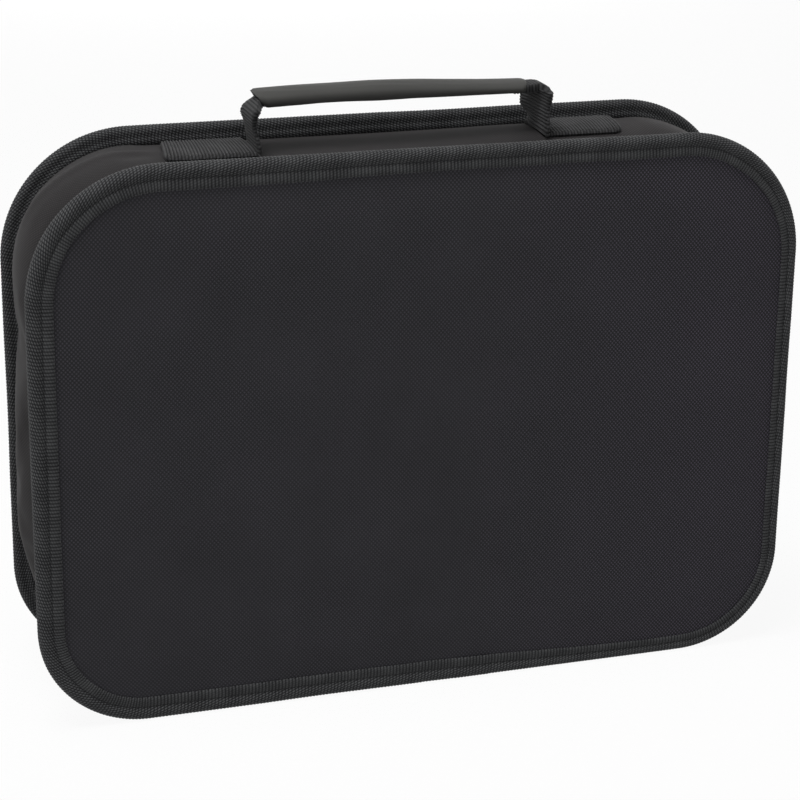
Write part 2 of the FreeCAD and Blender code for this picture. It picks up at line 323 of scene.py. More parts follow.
def map_to(piece: Piece, along: Array, across: Array) -> None:
    """Writes a piece's own map in metres, so that a pattern's scale is a real one.

    Args:
        piece: The piece.
        along: First map coordinate of each vertex.
        across: Second map coordinate of each vertex.
    """
    layer = piece.data.uv_layers.active or piece.data.uv_layers.new(name="own_map")
    corner = np.empty(len(piece.data.loops), dtype=np.int64)
    piece.data.loops.foreach_get("vertex_index", corner)
    pairs = np.stack([along[corner], across[corner]], axis=1)
    layer.data.foreach_set("uv", pairs.astype(np.float32).ravel())


def ease(value: Array, low: float, high: float) -> Array:
    """Smooth step from 0 at low to 1 at high."""
    share = np.clip((value - low) / (high - low), 0, 1)
    return share * share * (3 - 2 * share)


def ripple(along: Array, seed: int, waves: Sequence[float]) -> Array:
    """A smooth uneven line made of a few sines with seeded phases.

    Args:
        along: Places, in metres.
        seed: Seed of the phases.
        waves: Wave lengths, in metres.

    Returns:
        Values from about -1 to 1.
    """
    phases = np.random.default_rng(seed).uniform(0, 2 * math.pi, len(waves))
    total = sum(np.sin(2 * math.pi * along / wave + phase) for wave, phase in zip(waves, phases))
    return total / len(waves)


# Sizes of the case, read from the frame


@dataclass(frozen=True)
class Outline:
    """Rounded outline of the bound panels, followed from the middle of the bottom towards +X."""

    width: float
    height: float
    upper_radius: float = 63 * MM
    lower_radius: float = 52 * MM
    foot_cut: float = 0.5 * MM

    @property
    def _stretches(self) -> list[tuple[float, float, float, float, float]]:
        """Stretches as (start x, start z, heading, length, radius); radius 0 is a straight run."""
        right, top, bottom = self.width / 2, self.height, -self.foot_cut
        upper, lower = self.upper_radius, self.lower_radius
        quarter = math.pi / 2
        side = top - bottom - upper - lower
        return [
            (0, bottom, 0, right - lower, 0), (right - lower, bottom, 0, quarter * lower, lower),
            (right, bottom + lower, quarter, side, 0),
            (right, top - upper, quarter, quarter * upper, upper),
            (right - upper, top, 2 * quarter, 2 * (right - upper), 0),
            (upper - right, top, 2 * quarter, quarter * upper, upper),
            (-right, top - upper, 3 * quarter, side, 0),
            (-right, bottom + lower, 3 * quarter, quarter * lower, lower),
            (lower - right, bottom, 0, right - lower, 0),
        ]

    @property
    def length(self) -> float:
        """Length of the whole outline."""
        return sum(stretch[3] for stretch in self._stretches)

    def place(self, along: Array, inset: Array, depth: Array) -> Array:
        """Places points by their way along the outline.

        Args:
            along: Distance along the outline.
            inset: Distance inwards from the outline.
            depth: Y of each point.

        Returns:
            One row of X, Y and Z for each point.
        """
        along = np.mod(along, self.length)
        inset = np.broadcast_to(inset, along.shape)
        x, z = np.zeros_like(along), np.zeros_like(along)
        begin = 0.0
        for start_x, start_z, heading, length, radius in self._stretches:
            here = (along >= begin - 1e-9) & (along <= begin + length + 1e-9)
            way = along[here] - begin
            turn = heading + (way / radius if radius else 0 * way)
            middle_x = start_x - radius * math.sin(heading)
            middle_z = start_z + radius * math.cos(heading)
            run = 0 * way if radius else way
            x[here] = middle_x + run * np.cos(turn) + (radius - inset[here]) * np.sin(turn)
            z[here] = middle_z + run * np.sin(turn) - (radius - inset[here]) * np.cos(turn)
            begin += length
        return np.stack([x, np.broadcast_to(depth, along.shape), z], axis=1)

    def inset_of(self, x: Array, z: Array) -> Array:
        """How far points lie inside the outline."""
        radius = np.where(z > self.height / 2, self.upper_radius, self.lower_radius)
        edge = np.where(z > self.height / 2, self.height - z, z + self.foot_cut)
        side = self.width / 2 - np.abs(x)
        corner = (side < radius) & (edge < radius)
        rounded = radius - np.hypot(radius - side, radius - edge)
        return np.where(corner, rounded, np.minimum(side, edge))

    def cut_area(self, wide: float, high: float, inset: float) -> float:
        """Area of a sheet that is cut to the outline less an inset, with its rounded corners."""
        upper, lower = self.upper_radius - inset, self.lower_radius - inset
        return wide * high - 2 * (1 - math.pi / 4) * (upper**2 + lower**2)

    def rounded_off(self, x: Array, z: Array, inset: float) -> tuple[Array, Array]:
        """Draws the corners of a rectangular grid onto the rounded corners of the outline.

        Args:
            x: X of the grid's points.
            z: Z of the grid's points.
            inset: How far the grid's edge lies inside the outline.

        Returns:
            The moved X and Z.
        """
        upper = z > self.height / 2
        radius = np.where(upper, self.upper_radius, self.lower_radius) - inset
        middle_z = np.where(upper, self.height - self.upper_radius, self.lower_radius - self.foot_cut)
        middle_x = self.width / 2 - inset - radius
        out_x = np.clip((np.abs(x) - middle_x) / radius, 0, 1)
        out_z = np.clip(np.where(upper, z - middle_z, middle_z - z) / radius, 0, 1)
        reach = np.hypot(out_x, out_z)
        shrink = np.where(reach > 1e-9, np.maximum(out_x, out_z) / np.maximum(reach, 1e-9), 1)
        corner = (out_x > 0) & (out_z > 0)
        new_x = np.where(corner, np.sign(x) * (middle_x + radius * out_x * shrink), x)
        new_z = np.where(corner, middle_z + np.where(upper, 1, -1) * radius * out_z * shrink, z)
        return new_x, new_z


@dataclass(frozen=True)
class CaseSize:
    """Places that several pieces share, in metres."""

    outline: Outline
    front: float
    rear: float
    flange_height: float = 10 * MM
    tape: float = 1 * MM
    fabric: float = 0.8 * MM
    board: float = 3 * MM
    lining: float = 0.6 * MM
    wall_foam: float = 3 * MM

    @classmethod
    def from_frame(cls) -> CaseSize:
        """Reads the overall size from the two bound edges."""
        low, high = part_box("front_binding")
        rear_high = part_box("rear_binding")[1]
        return cls(outline=Outline(high[0] - low[0], high[2]), front=low[1], rear=rear_high[1])

    @property
    def wall_top(self) -> float:
        """Z of the outer face of the wall's top."""
        return self.outline.height - self.flange_height

    def face(self, side: Side) -> float:
        """Y of the outer fabric of a panel."""
        return self.front + self.tape if side is Side.FRONT else self.rear - self.tape


# Colours and node trees


def linear(colour: str) -> tuple[float, float, float, float]:
    """Turns an sRGB hex colour into linear values.

    Args:
        colour: Such as #2b2b2d.

    Returns:
        Red, green, blue and alpha.
    """
    channels = [int(colour[start : start + 2], 16) / 255 for start in (1, 3, 5)]
    red, green, blue = (c / 12.92 if c <= 0.04045 else ((c + 0.055) / 1.055) ** 2.4 for c in channels)
    return red, green, blue, 1.0


def add_node(
    tree: Tree, kind: str, settings: dict | None = None, links: dict | None = None,
) -> bpy.types.Node:
    """Adds one node with its settings and links.

    Args:
        tree: The node tree.
        kind: Type of the node, without its first word.
        settings: Values by the name of a property or, failing that, of an input.
        links: Sockets of other nodes by the name or number of the input.

    Returns:
        The node.
    """
    node = tree.nodes.new("ShaderNode" + kind)
    for key, value in (settings or {}).items():
        if hasattr(node, key):
            setattr(node, key, value)
        else:
            node.inputs[key].default_value = value
    for key, socket in (links or {}).items():
        tree.links.new(socket, node.inputs[key])
    return node


def maths(tree: Tree, operation: str, *terms: Socket | float, clamp: bool = False) -> Socket:
    """Adds a math node.

    Args:
        tree: The node tree.
        operation: What it works out.
        terms: Its inputs in their order, each a socket or a number.
        clamp: True to hold the result between 0 and 1.

    Returns:
        The result.
    """
    node = add_node(tree, "Math", {"operation": operation, "use_clamp": clamp})
    for place, term in zip(node.inputs, terms):
        if isinstance(term, (int, float)):
            place.default_value = term
        else:
            tree.links.new(term, place)
    return node.outputs[0]


def mapped(tree: Tree, value: Socket, *limits: float, **settings: object) -> Socket:
    """Adds a node that maps a value from the first two limits to the last two, or to 0 and 1."""
    names = ("From Min", "From Max", "To Min", "To Max")
    return add_node(tree, "MapRange", dict(zip(names, limits)) | settings, {"Value": value}).outputs[0]


def noise(tree: Tree, coords: Socket, scale: float, detail: float, **settings: float) -> Socket:
    """Adds a noise pattern."""
    scales = {"Scale": scale, "Detail": detail}
    return add_node(tree, "TexNoise", scales | settings, {"Vector": coords}).outputs["Fac"]


def split_x_y(tree: Tree, coords: Socket) -> tuple[Socket, Socket]:
    """Adds a node that takes coordinates apart, and returns the first two."""
    return tuple(add_node(tree, "SeparateXYZ", {}, {"Vector": coords}).outputs)[:2]


def coloured(tree: Tree, tone: Socket, *stops: tuple[float, str]) -> Socket:
    """Adds a ramp between two colours.

    Args:
        tree: The node tree.
        tone: Place on the ramp.
        stops: Place and hex colour of each end.

    Returns:
        The colour.
    """
    node = add_node(tree, "ValToRGB", {}, {"Fac": tone})
    for element, (place, colour) in zip(node.color_ramp.elements, stops):
        element.position = place
        element.color = linear(colour)
    return node.outputs["Color"]


def surface(
    tree: Tree, colours: Socket, height: Socket, strength: float, depth: float, **rest: float
) -> None:
    """Adds the shader of a surface and the tree's output.

    Args:
        tree: The node tree.
        colours: Its colour.
        height: Height of its pattern.
        strength: Strength of the bump.
        depth: Depth of the bump, in metres.
        rest: Other settings; an underscore stands for a space, and level for Specular IOR Level.
    """
    bump = add_node(
        tree, "Bump", {"Strength": strength, "Distance": depth}, {"Height": height},
    ).outputs[0]
    settings = {
        "Specular IOR Level" if key == "level" else key.replace("_", " "): rest[key] for key in rest
    }
    shader = add_node(
        tree, "BsdfPrincipled", {"IOR": 1.5} | settings, {"Base Color": colours, "Normal": bump},
    )
    add_node(tree, "OutputMaterial", {}, {"Surface": shader.outputs[0]})


def new_material(name: str) -> tuple[Material, Tree]:
    """Adds an empty node material and returns it with its tree."""
    material = bpy.data.materials.new(name)
    material.use_nodes = True
    material.node_tree.nodes.clear()
    return material, material.node_tree


def dress(
    piece: Piece, material: Material, body: str | None = None, node: str | None = None,
) -> None:
    """Gives a piece its material and its body, and hides the CAD node that it stands for.

    Args:
        piece: The piece.
        material: Its material.
        body: Body that it rides on, if it rides on one.
        node: CAD node that it replaces, if any.
    """
    piece.data.materials.clear()
    piece.data.materials.append(material)
    if body:
        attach(piece, body)
    if node:
        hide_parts(node)


@dataclass(frozen=True)
class Weave:
    """Woven polyester: two sets of yarns that cross, seen as a lattice of light floats.

    The lattice's pitch is that of the floats. Soft patches vary its tone and how clearly it shows, as on
    handled fabric. From painted_light_from to painted_light_to along the first coordinate a painted sheen
    makes the floats stand out more and turn from the light colour to the tint, as where light catches the
    cloth; outside the sheen the tint is still mixed in at a lower share.
    """

    name: str
    dark: str
    light: str
    tint_and_painted_light: str
    pitch: float
    turned: float = 45.0
    stretch: float = 1.0
    follows: Coords = Coords.PLACE
    depth: float = 0.1 * MM
    clear_from: float = 0.3
    clear_to: float = 0.95
    patch: float = 0.045
    roughness: float = 0.8
    sheen: float = 0.03
    # Where along the first coordinate the painted sheen begins and where it is full
    painted_light_from: float = 10.0
    painted_light_to: float = 11.0

    def lattice(self, tree: Tree, coords: Socket) -> Socket:
        """Adds the crossing yarns.

        Args:
            tree: The node tree.
            coords: Coordinates that the yarns follow.

        Returns:
            Height of the yarns, 0 to 1.
        """
        place = self.follows is Coords.PLACE
        turn = math.radians(self.turned)
        squeeze = {"Scale": (1, 1, 1 / self.stretch) if place else (1, 1 / self.stretch, 1)}
        turn = {"Rotation": (0, turn, 0) if place else (0, 0, turn)}
        for settings in (squeeze, turn):
            coords = add_node(tree, "Mapping", settings, {"Vector": coords}).outputs[0]
        wave = {
            "Scale": math.pi / 10 / self.pitch, "Distortion": 0.6, "Detail": 1.0, "Detail Scale": 0.35,
        }
        threads = []
        for direction in ("X", "Z" if place else "Y"):
            node = add_node(tree, "TexWave", wave | {"bands_direction": direction}, {"Vector": coords})
            threads.append(node.outputs["Fac"])
        return maths(tree, "MULTIPLY", *threads)

    def build(self) -> Material:
        """Builds the material.

        Returns:
            The material.
        """
        material, tree = new_material(self.name)
        coords = add_node(tree, "TexCoord").outputs[self.follows.value]
        height = self.lattice(tree, coords)
        drift = mapped(tree, noise(tree, coords, 1 / self.patch, 3.0, Roughness=0.55), 0.3, 0.7, 0.2, 0.3)
        clouds = noise(tree, coords, 0.4 / self.patch, 2.0, Distortion=0.6)
        clear = mapped(tree, clouds, 0.35, 0.65, self.clear_from, self.clear_to)
        # Painted sheen: along the first coordinate the floats are painted clearer, lighter and more
        # tinted, standing for light that catches the cloth
        painted_light = mapped(tree, split_x_y(tree, coords)[0], self.painted_light_from, self.painted_light_to)
        clear = maths(tree, "MULTIPLY_ADD", painted_light, 0.9, clear)
        tint_and_painted_light_share = maths(tree, "MULTIPLY_ADD", painted_light, 0.6, 0.4, clamp=True)
        swing = maths(tree, "SUBTRACT", height, 0.25)
        tone = maths(tree, "MULTIPLY_ADD", swing, clear, drift, clamp=True)
        plain, tinted = (
            coloured(tree, tone, (0.0, self.dark), (0.9, light)) for light in (self.light, self.tint_and_painted_light)
        )
        colours = add_node(
            tree, "Mix", {"data_type": "RGBA"}, {0: tint_and_painted_light_share, 6: plain, 7: tinted},
        ).outputs[2]
        surface(
            tree, colours, height, 0.6, self.depth, Roughness=self.roughness, level=0.2,
            Sheen_Weight=self.sheen,
        )
        return material


@dataclass(frozen=True)
class RibbedTape:
    """Grosgrain tape: fat cross ribs wrapped by fine yarns, painted darker between the ribs as shade.

    The ribs themselves are modelled; the map runs along and across the tape. Past dotted_from the ribs
    are pinched into short floats, as where the tape is stretched round an edge.
    """

    name: str
    # Colour of the valleys between the ribs, where it is painted shade
    dark: str
    # Colour of the yarns' crests, partly their own tone and partly a painted highlight
    light: str
    rib: float
    yarn: float = 1.25 * MM
    dotted_from: float = 1.0
    depth: float = 0.12 * MM
    roughness: float = 0.8
    sheen: float = 0.05

    def build(self) -> Material:
        """Builds the material.

        Returns:
            The material.
        """
        material, tree = new_material(self.name)
        coords = add_node(tree, "TexCoord").outputs["UV"]
        along, across = split_x_y(tree, coords)
        phase = maths(tree, "MULTIPLY", along, math.pi / self.rib)
        wound = maths(tree, "ADD", phase, maths(tree, "MULTIPLY", across, 2 * math.pi / self.yarn))
        crest = maths(tree, "ABSOLUTE", maths(tree, "SINE", phase))
        start, stop = self.dotted_from - 0.6 * MM, self.dotted_from + 0.6 * MM
        pinch = mapped(tree, across, start, stop, 0.15, 0.5, interpolation_type="SMOOTHSTEP")
        height = maths(
            tree, "MULTIPLY", crest, maths(tree, "MULTIPLY_ADD", maths(tree, "SINE", wound), pinch, 0.6),
        )
        drift = mapped(tree, noise(tree, coords, 90.0, 3.0), 0.3, 0.7, -0.12, 0.12)
        # Painted shade and highlight: the colour follows the height, so the valleys between the modelled
        # ribs are painted dark and the yarns' crests light
        colours = coloured(
            tree, maths(tree, "ADD", height, drift, clamp=True), (0.1, self.dark), (0.95, self.light),
        )
        surface(
            tree, colours, height, 0.8, self.depth, Roughness=self.roughness, level=0.2,
            Sheen_Weight=self.sheen,
        )
        return material


@dataclass(frozen=True)
class Plain:
    """A surface with a fine grain: taffeta, foam, moulded rubber, nylon, sheet plastic or cast metal."""

    name: str
    dark: str
    light: str
    grain: float
    depth: float
    roughness: float
    specular: float = 0.5
    coat: float = 0.0
    sheen: float = 0.0
    threads: float = 0.0

    def build(self) -> Material:
        """Builds the material.

        Returns:
            The material.
        """
        material, tree = new_material(self.name)
        coords = add_node(tree, "TexCoord").outputs["Object"]
        height = noise(tree, coords, 1 / self.grain, 4.0, Roughness=0.6)
        if self.threads:
            wave = {
                "bands_direction": "DIAGONAL", "Scale": math.pi / 10 / self.threads, "Distortion": 0.3,
            }
            woven = add_node(tree, "TexWave", wave, {"Vector": coords}).outputs["Fac"]
            height = maths(tree, "MULTIPLY", height, woven)
        tone = maths(tree, "MULTIPLY_ADD", noise(tree, coords, 40.0, 3.0), 0.6, height, clamp=True)
        surface(
            tree, coloured(tree, tone, (0.35, self.dark), (1.0, self.light)), height, 0.6, self.depth,
            Roughness=self.roughness, level=self.specular, Coat_Weight=self.coat, Sheen_Weight=self.sheen,
        )
        return material


@dataclass(frozen=True)
class Finishes:
    """Every finish of the case."""

    panel: Material
    wall: Material
    grip: Material
    tape: Material
    thread: Material
    webbing: Material
    lining: Material
    elastic: Material
    net: Material
    zip_tape: Material
    coil: Material
    board: Material
    foam: Material
    metal: Material
    rubber: Material

    @classmethod
    def build(cls) -> Finishes:
        """Builds all of the materials.

        Returns:
            The finishes.
        """
        return cls(
            # Coated oxford polyester: light floats on a dark ground, matt with a faint sheen; towards the
            # right a painted sheen makes the floats clearer and purplish
            panel=Weave(
                "coated_oxford_polyester", "#18181a", "#454648", "#4f4a55", 1.35 * MM, stretch=1.1,
                clear_from=0.5, clear_to=0.78, painted_light_from=20 * MM, painted_light_to=150 * MM,
            ).build(),
            # Plain woven polyester: finer and more even than the panels; from near the right leg round to
            # the middle of the bottom it is painted lighter, with clearer and warmer floats, as painted
            # light
            wall=Weave(
                "plain_woven_polyester", "#0f0e0f", "#2f2c2d", "#363233", 1.3 * MM, follows=Coords.OWN_MAP,
                depth=0.07 * MM, clear_from=0.2, clear_to=0.75, patch=0.02, painted_light_from=0.57,
                painted_light_to=0.49,
            ).build(),
            # Brushed polyester of the grip: almost without a weave, and paler where the nap stands up
            grip=Weave(
                "brushed_polyester", "#383837", "#555553", "#5a5955", 0.9 * MM, follows=Coords.OWN_MAP,
                depth=0.03 * MM,
            ).build(),
            # Grosgrain tape: fat cross ribs, with painted shade between them
            tape=RibbedTape(
                "polyester_grosgrain_tape", "#131315", "#555657", 1.66 * MM, dotted_from=5.6 * MM
            ).build(),
            # Spun polyester thread: black and dull
            thread=Plain(
                "spun_polyester_thread", "#0a0a0b", "#202022", 0.3 * MM, 0.03 * MM, 0.7, specular=0.2
            ).build(),
            # Webbing: ribs as on the tape, but smoother and darker, with the same painted shade between
            # the ribs
            webbing=RibbedTape("polyester_webbing", "#020203", "#464647", 1.6 * MM, 1.9 * MM).build(),
            # Nylon taffeta: thin, smooth and slightly shiny
            lining=Plain(
                "nylon_taffeta_lining", "#141416", "#2b2b2f", 0.6 * MM, 0.03 * MM, 0.55, sheen=0.1,
                threads=0.5 * MM,
            ).build(),
            # Knitted elastic: fine cords side by side, with painted shade between the cords
            elastic=RibbedTape(
                "knitted_elastic", "#121214", "#3c3c40", 0.9 * MM, 1.6 * MM, depth=0.06 * MM
            ).build(),
            # Knitted polyester net: glossy fine yarn
            net=Plain("polyester_net_yarn", "#121214", "#333338", 0.4 * MM, 0.02 * MM, 0.5).build(),
            # Zip tape: dense narrow weaving, with painted shade between its ribs
            zip_tape=RibbedTape(
                "woven_zip_tape", "#101012", "#333336", 0.8 * MM, 0.8 * MM, depth=0.04 * MM
            ).build(),
            # Nylon coil: smooth extruded monofilament
            coil=Plain("nylon_monofilament_coil", "#101011", "#1f1f22", 2 * MM, 0.01 * MM, 0.35).build(),
            # Polyethylene board: matt grained sheet
            board=Plain("polyethylene_board", "#1b1b1c", "#2b2b2d", 0.8 * MM, 0.05 * MM, 0.5).build(),
            # Polyethylene foam: small closed cells
            foam=Plain("polyethylene_foam", "#2a2a2c", "#4a4a4d", 0.5 * MM, 0.15 * MM, 0.85).build(),
            # Painted zinc casting: black enamel over a cast slider
            metal=Plain(
                "black_enamelled_zinc", "#0c0c0d", "#19191b", 1.5 * MM, 0.01 * MM, 0.32, coat=0.3
            ).build(),
            # Moulded rubber: soft and matt
            rubber=Plain("moulded_soft_rubber", "#131314", "#202022", 0.25 * MM, 0.02 * MM, 0.7).build(),
        )


# Pieces


@dataclass
class BoundEdge:
    """Ribbed tape folded over the edge of a panel and sewn down in a groove."""

    size: CaseSize
    side: Side
    finishes: Finishes
    rib: float = 1.66 * MM
    rib_height: float = 0.24 * MM
    loop: float = 0.4 * MM
    lean: float = 1.1 * MM
    groove_inset: float = 7.1 * MM
    narrow_share: float = 0.3
    join: tuple[float, float] = (15 * MM, 33 * MM)
    join_slope: float = 1.2 * MM
    join_rise: float = 0.45 * MM
    stitch_lift: float = 0.3 * MM
    wander: float = 0.3 * MM
    slack: float = 0.12 * MM
    lowest: float = 0.02 * MM
    narrow_corner: float = 0.12

    # Height of one pair of ribs along the tape; the middle valley closes at the inner edge
    CREST = (0.0, 0.9, 0.9, 0.0, 0.9, 0.9, 0.0)

    # Inset from the outline and height over the panel's fabric in millimetres, and share of a rib's height
    SECTION = (
        (12.0, 0.0, 0.0), (12.4, 0.5, 0.7), (11.9, 1.02, 1.0), (10.6, 1.06, 1.0), (9.2, 0.96, 1.0),
        (8.1, 0.68, 0.9), (7.4, 0.3, 0.5), (6.8, 0.3, 0.5), (6.1, 0.8, 0.8), (5.1, 1.2, 0.9),
        (3.9, 1.4, 0.9), (2.7, 1.2, 0.9), (1.5, 0.6, 0.9), (0.6, -0.5, 0.9), (0.15, -1.8, 0.9),
        (0.25, -3.2, 0.9), (1.0, -4.3, 0.9), (2.0, -4.9, 0.9), (3.6, -5.1, 0.8), (5.0, -4.8, 0.6),
        (6.3, -5.1, 0.9), (9.9, -6.8, 0.5), (9.9, -3.9, 0.0), (1.1, -3.85, 0.0), (1.1, -0.02, 0.0),
    )

    def unit(self, pitch: float) -> Piece:
        """Models two ribs of the folded tape along X, with inset along Y and height along Z.

        Args:
            pitch: Length of the pair along the tape.

        Returns:
            The unit.
        """
        section = np.array(self.SECTION + self.SECTION[:1]) * (MM, MM, 1)
        columns = len(self.CREST) - 1
        unit, flat = grid(self.side.word + "_bound_edge", columns, len(section) - 1)
        base, share = section[:, :2], section[:, 2]
        tangent = np.gradient(base, axis=0)
        normal = np.stack([-tangent[:, 1], tangent[:, 0]], axis=1)
        outward = normal / np.linalg.norm(tangent, axis=1)[:, None]
        column, row = numbered(flat, columns, len(section) - 1)
        crest = np.array(self.CREST)[column]
        crest = np.where((column == columns // 2) & (row <= 2), 0.75, crest)
        lift = self.rib_height * (crest - 0.5) * share[row]
        shaped = base[row] - outward[row] * lift[:, None]
        ends = (row <= 2) & ((column == 0) | (column == columns))
        shaped[:, 0] -= self.loop * ends
        place = np.stack([flat[:, 0] * pitch, shaped[:, 0], shaped[:, 1]], axis=1)
        walk = np.concatenate([[0], np.cumsum(np.linalg.norm(np.diff(base, axis=0), axis=1))])
        unit.data.attributes.new("across", "FLOAT", "POINT").data.foreach_set(
            "value", walk[row].astype(np.float32),
        )
        put(unit, place)
        return unit

    def laid(self, along: Array, inset: Array, height: Array) -> Array:
        """Lays points of the tape round the outline.

        Args:
            along: Way along the tape.
            inset: Distance inwards from the outline.
            height: Height over the panel's fabric.

        Returns:
            Their places in the case.
        """
        face = np.clip(height / MM + 1, 0, 1)
        narrow = self.narrow(along) if self.side is Side.FRONT else 0.0
        wander = ripple(along, 7 + self.side.value, (0.31, 0.17, 0.083)) * self.wander
        slack = ripple(along, 17 + self.side.value, (0.052, 0.037, 0.021)) * self.slack
        inset = inset * (1 - narrow * face) + np.maximum(wander, 0) + slack * face * (inset > 6 * MM)
        half = self.size.outline.length / 2
        along_join = np.mod(along + half, 2 * half) - half
        start, stop = self.join
        begun = ease(along_join, start, start + self.join_slope)
        ended = ease(along_join, stop, stop + self.join_slope)
        height = height + self.join_rise * begun * (1 - ended) * face
        depth = self.size.face(self.side) + self.side.value * (height * (1 + 0.5 * slack / MM * face))
        placed = self.size.outline.place(along, inset, depth)
        placed[:, 2] = np.maximum(placed[:, 2], self.lowest)
        return placed

    def tape(self) -> Piece:
        """Builds and dresses the tape."""
        outline = self.size.outline
        count = round(outline.length / self.rib / 2)
        pitch = outline.length / count
        piece = self.unit(pitch)
        repeated(piece, count, pitch)
        flat = points(piece)
        across = np.empty(len(flat), dtype=np.float32)
        piece.data.attributes["across"].data.foreach_get("value", across)
        map_to(piece, flat[:, 0] * 2 * self.rib / pitch, across)
        along, inset, height = flat.T
        put(piece, self.laid(along - self.lean * ease(inset, 7 * MM, 0), inset, height))
        weld(piece, 2e-6)
        smooth(piece)
        dress(piece, self.finishes.tape, self.side.body, self.side.word + "_binding")
        return piece

    def stitches(self) -> Piece:
        """Builds and dresses the stitches that are sunk in the groove."""
        length = self.size.outline.length
        row = stitch_row(self.side.word + "_edge_stitches", length, 2 * self.rib, 0.55 * MM)
        along, across, lift = points(row).T
        put(row, self.laid(along, across + self.groove_inset, lift + self.stitch_lift))
        weld(row)
        dress(row, self.finishes.thread, self.side.body)
        return row

    def build(self) -> list[Piece]:
        """Builds the tape and its stitches."""
        return [self.tape(), self.stitches()]

    def narrow(self, along: Array) -> Array:
        """Share by which the tape's face is narrower on the right, where less of it was turned over."""
        length = self.size.outline.length
        place = np.mod(along, length) / length
        side = self.narrow_share * ease(place, 0.0, 0.1) * (1 - ease(place, 0.3, 0.37))
        return side + self.narrow_corner * ease(place, 0.3, 0.37) * (1 - ease(place, 0.5, 0.58))


@dataclass
class PanelSkin:
    """Outer fabric of a panel, stretched over the board and sewn into the bound edge."""

    size: CaseSize
    side: Side
    material: Material
    edge_inset: float = 2.2 * MM
    held_inset: float = 9.5 * MM
    cell: float = 5.5 * MM
    crown: float = 1.5 * MM
    slack_width: float = 25 * MM

    def build(self) -> Piece:
        """Builds, stretches and dresses the skin.

        Returns:
            The piece.
        """
        outline, word = self.size.outline, self.side.word
        wide = outline.width - 2 * self.edge_inset
        high = outline.height + outline.foot_cut - 2 * self.edge_inset
        piece, flat = grid(word + "_panel_skin", round(wide / self.cell), round(high / self.cell))
        x = (flat[:, 0] - 0.5) * wide
        z = flat[:, 1] * high - outline.foot_cut + self.edge_inset
        x, z = outline.rounded_off(x, z, self.edge_inset)
        face = self.size.face(self.side)
        put(piece, x, face, z)
        if self.side is Side.REAR:
            turn_out(piece, over=True)
        inset = outline.inset_of(x, z)
        loose = ease(inset, self.held_inset, self.held_inset + self.slack_width)
        uneven = ripple(x + 0.6 * z, 3, (0.21, 0.13)) * ripple(z - 0.4 * x, 4, (0.17, 0.11))
        swell = self.crown * loose * (0.85 + 0.3 * uneven)
        put(piece, points(piece) + np.stack([0 * x, self.side.value * swell, 0 * x], axis=1))
        finish_with(piece, "SUBSURF", levels=1, render_levels=1, boundary_smooth="PRESERVE_CORNERS")
        thicken(piece, self.size.fabric, -1)
        dress(piece, self.material, self.side.body, word + "_panel")
        cut = outline.cut_area(wide, high, self.edge_inset)
        return piece


@dataclass
class Run:
    """A smooth line in a plane that a flat strip is laid along; knots in metres."""

    knots: Sequence[tuple[float, float]]
    steps: int = 24

    def __post_init__(self) -> None:
        """Works out the fine points of the line and the way along it."""
        knots = np.array(self.knots, float)
        ends = np.vstack([2 * knots[0] - knots[1], knots, 2 * knots[-1] - knots[-2]])
        share = np.linspace(0, 1, self.steps, endpoint=False)[:, None]
        spans = []
        for before, start, end, after in zip(ends, ends[1:], ends[2:], ends[3:]):
            bend = 2 * before - 5 * start + 4 * end - after
            twist = 3 * start - before - 3 * end + after
            spans.append(start + ((end - before) * share + bend * share**2 + twist * share**3) / 2)
        self.line = np.vstack(spans + [knots[-1:]])
        self.walk = np.concatenate([[0], np.cumsum(np.linalg.norm(np.diff(self.line, axis=0), axis=1))])

    @property
    def length(self) -> float:
        """Length of the line."""
        return float(self.walk[-1])

    def place(self, along: Array, lift: Array) -> tuple[Array, Array]:
        """Places points on the line, lifted to its left side.

        Args:
            along: Distance along the line.
            lift: Distance from the line.

        Returns:
            Both plane coordinates.
        """
        slope = np.gradient(self.line, self.walk, axis=0)
        lines = np.hstack([self.line, slope]).T
        first, second, step_1, step_2 = (np.interp(along, self.walk, values) for values in lines)
        norm = np.hypot(step_1, step_2)
        return first - lift * step_2 / norm, second + lift * step_1 / norm

    def way_to(self, height: float) -> float:
        """Way along the line at which its second coordinate first passes a height."""
        return float(self.walk[np.argmax(self.line[:, 1] >= height)])


@dataclass(frozen=True)
class Band:
    """Ribbed woven band with rounded edges, made flat from one repeated rib."""

    width: float
    thickness: float
    rib: float = 1.45 * MM
    rib_height: float = 0.2 * MM
    cells: int = 12

    def flat(self, name: str, length: float) -> Piece:
        """Makes the band along X, centred on Y and Z.

        Args:
            name: Name of the piece.
            length: Length of the band.

        Returns:
            The piece.
        """
        crest = np.array((0.0, 0.8, 0.8, 0.0))
        count = max(1, round(length / self.rib))
        pitch = length / count
        half, edge = self.width / 2, self.thickness / 2
        run = np.linspace(-half + edge, half - edge, self.cells + 1)
        upper = np.stack([run, np.full_like(run, edge)], axis=1)
        tip = np.array([[half - edge * 0.3, edge * 0.6], [half, 0], [half - edge * 0.3, -edge * 0.6]])
        section = np.vstack([upper, tip, -upper, -tip, upper[:1]])
        piece, place = grid(name, len(crest) - 1, len(section) - 1)
        column, row = numbered(place, len(crest) - 1, len(section) - 1)
        swell = 1 + self.rib_height / self.thickness * 2 * (crest[column] - 0.5)
        put(piece, place[:, 0] * pitch, section[row, 0], section[row, 1] * swell)
        repeated(piece, count, pitch)
        weld(piece)
        with editing(piece, "EDGE"):
            bpy.ops.mesh.select_all(action="DESELECT")
            bpy.ops.mesh.select_non_manifold()
            bpy.ops.mesh.edge_face_add()
        place = points(piece)
        map_to(piece, place[:, 0] * self.rib / pitch, place[:, 1])
        return piece


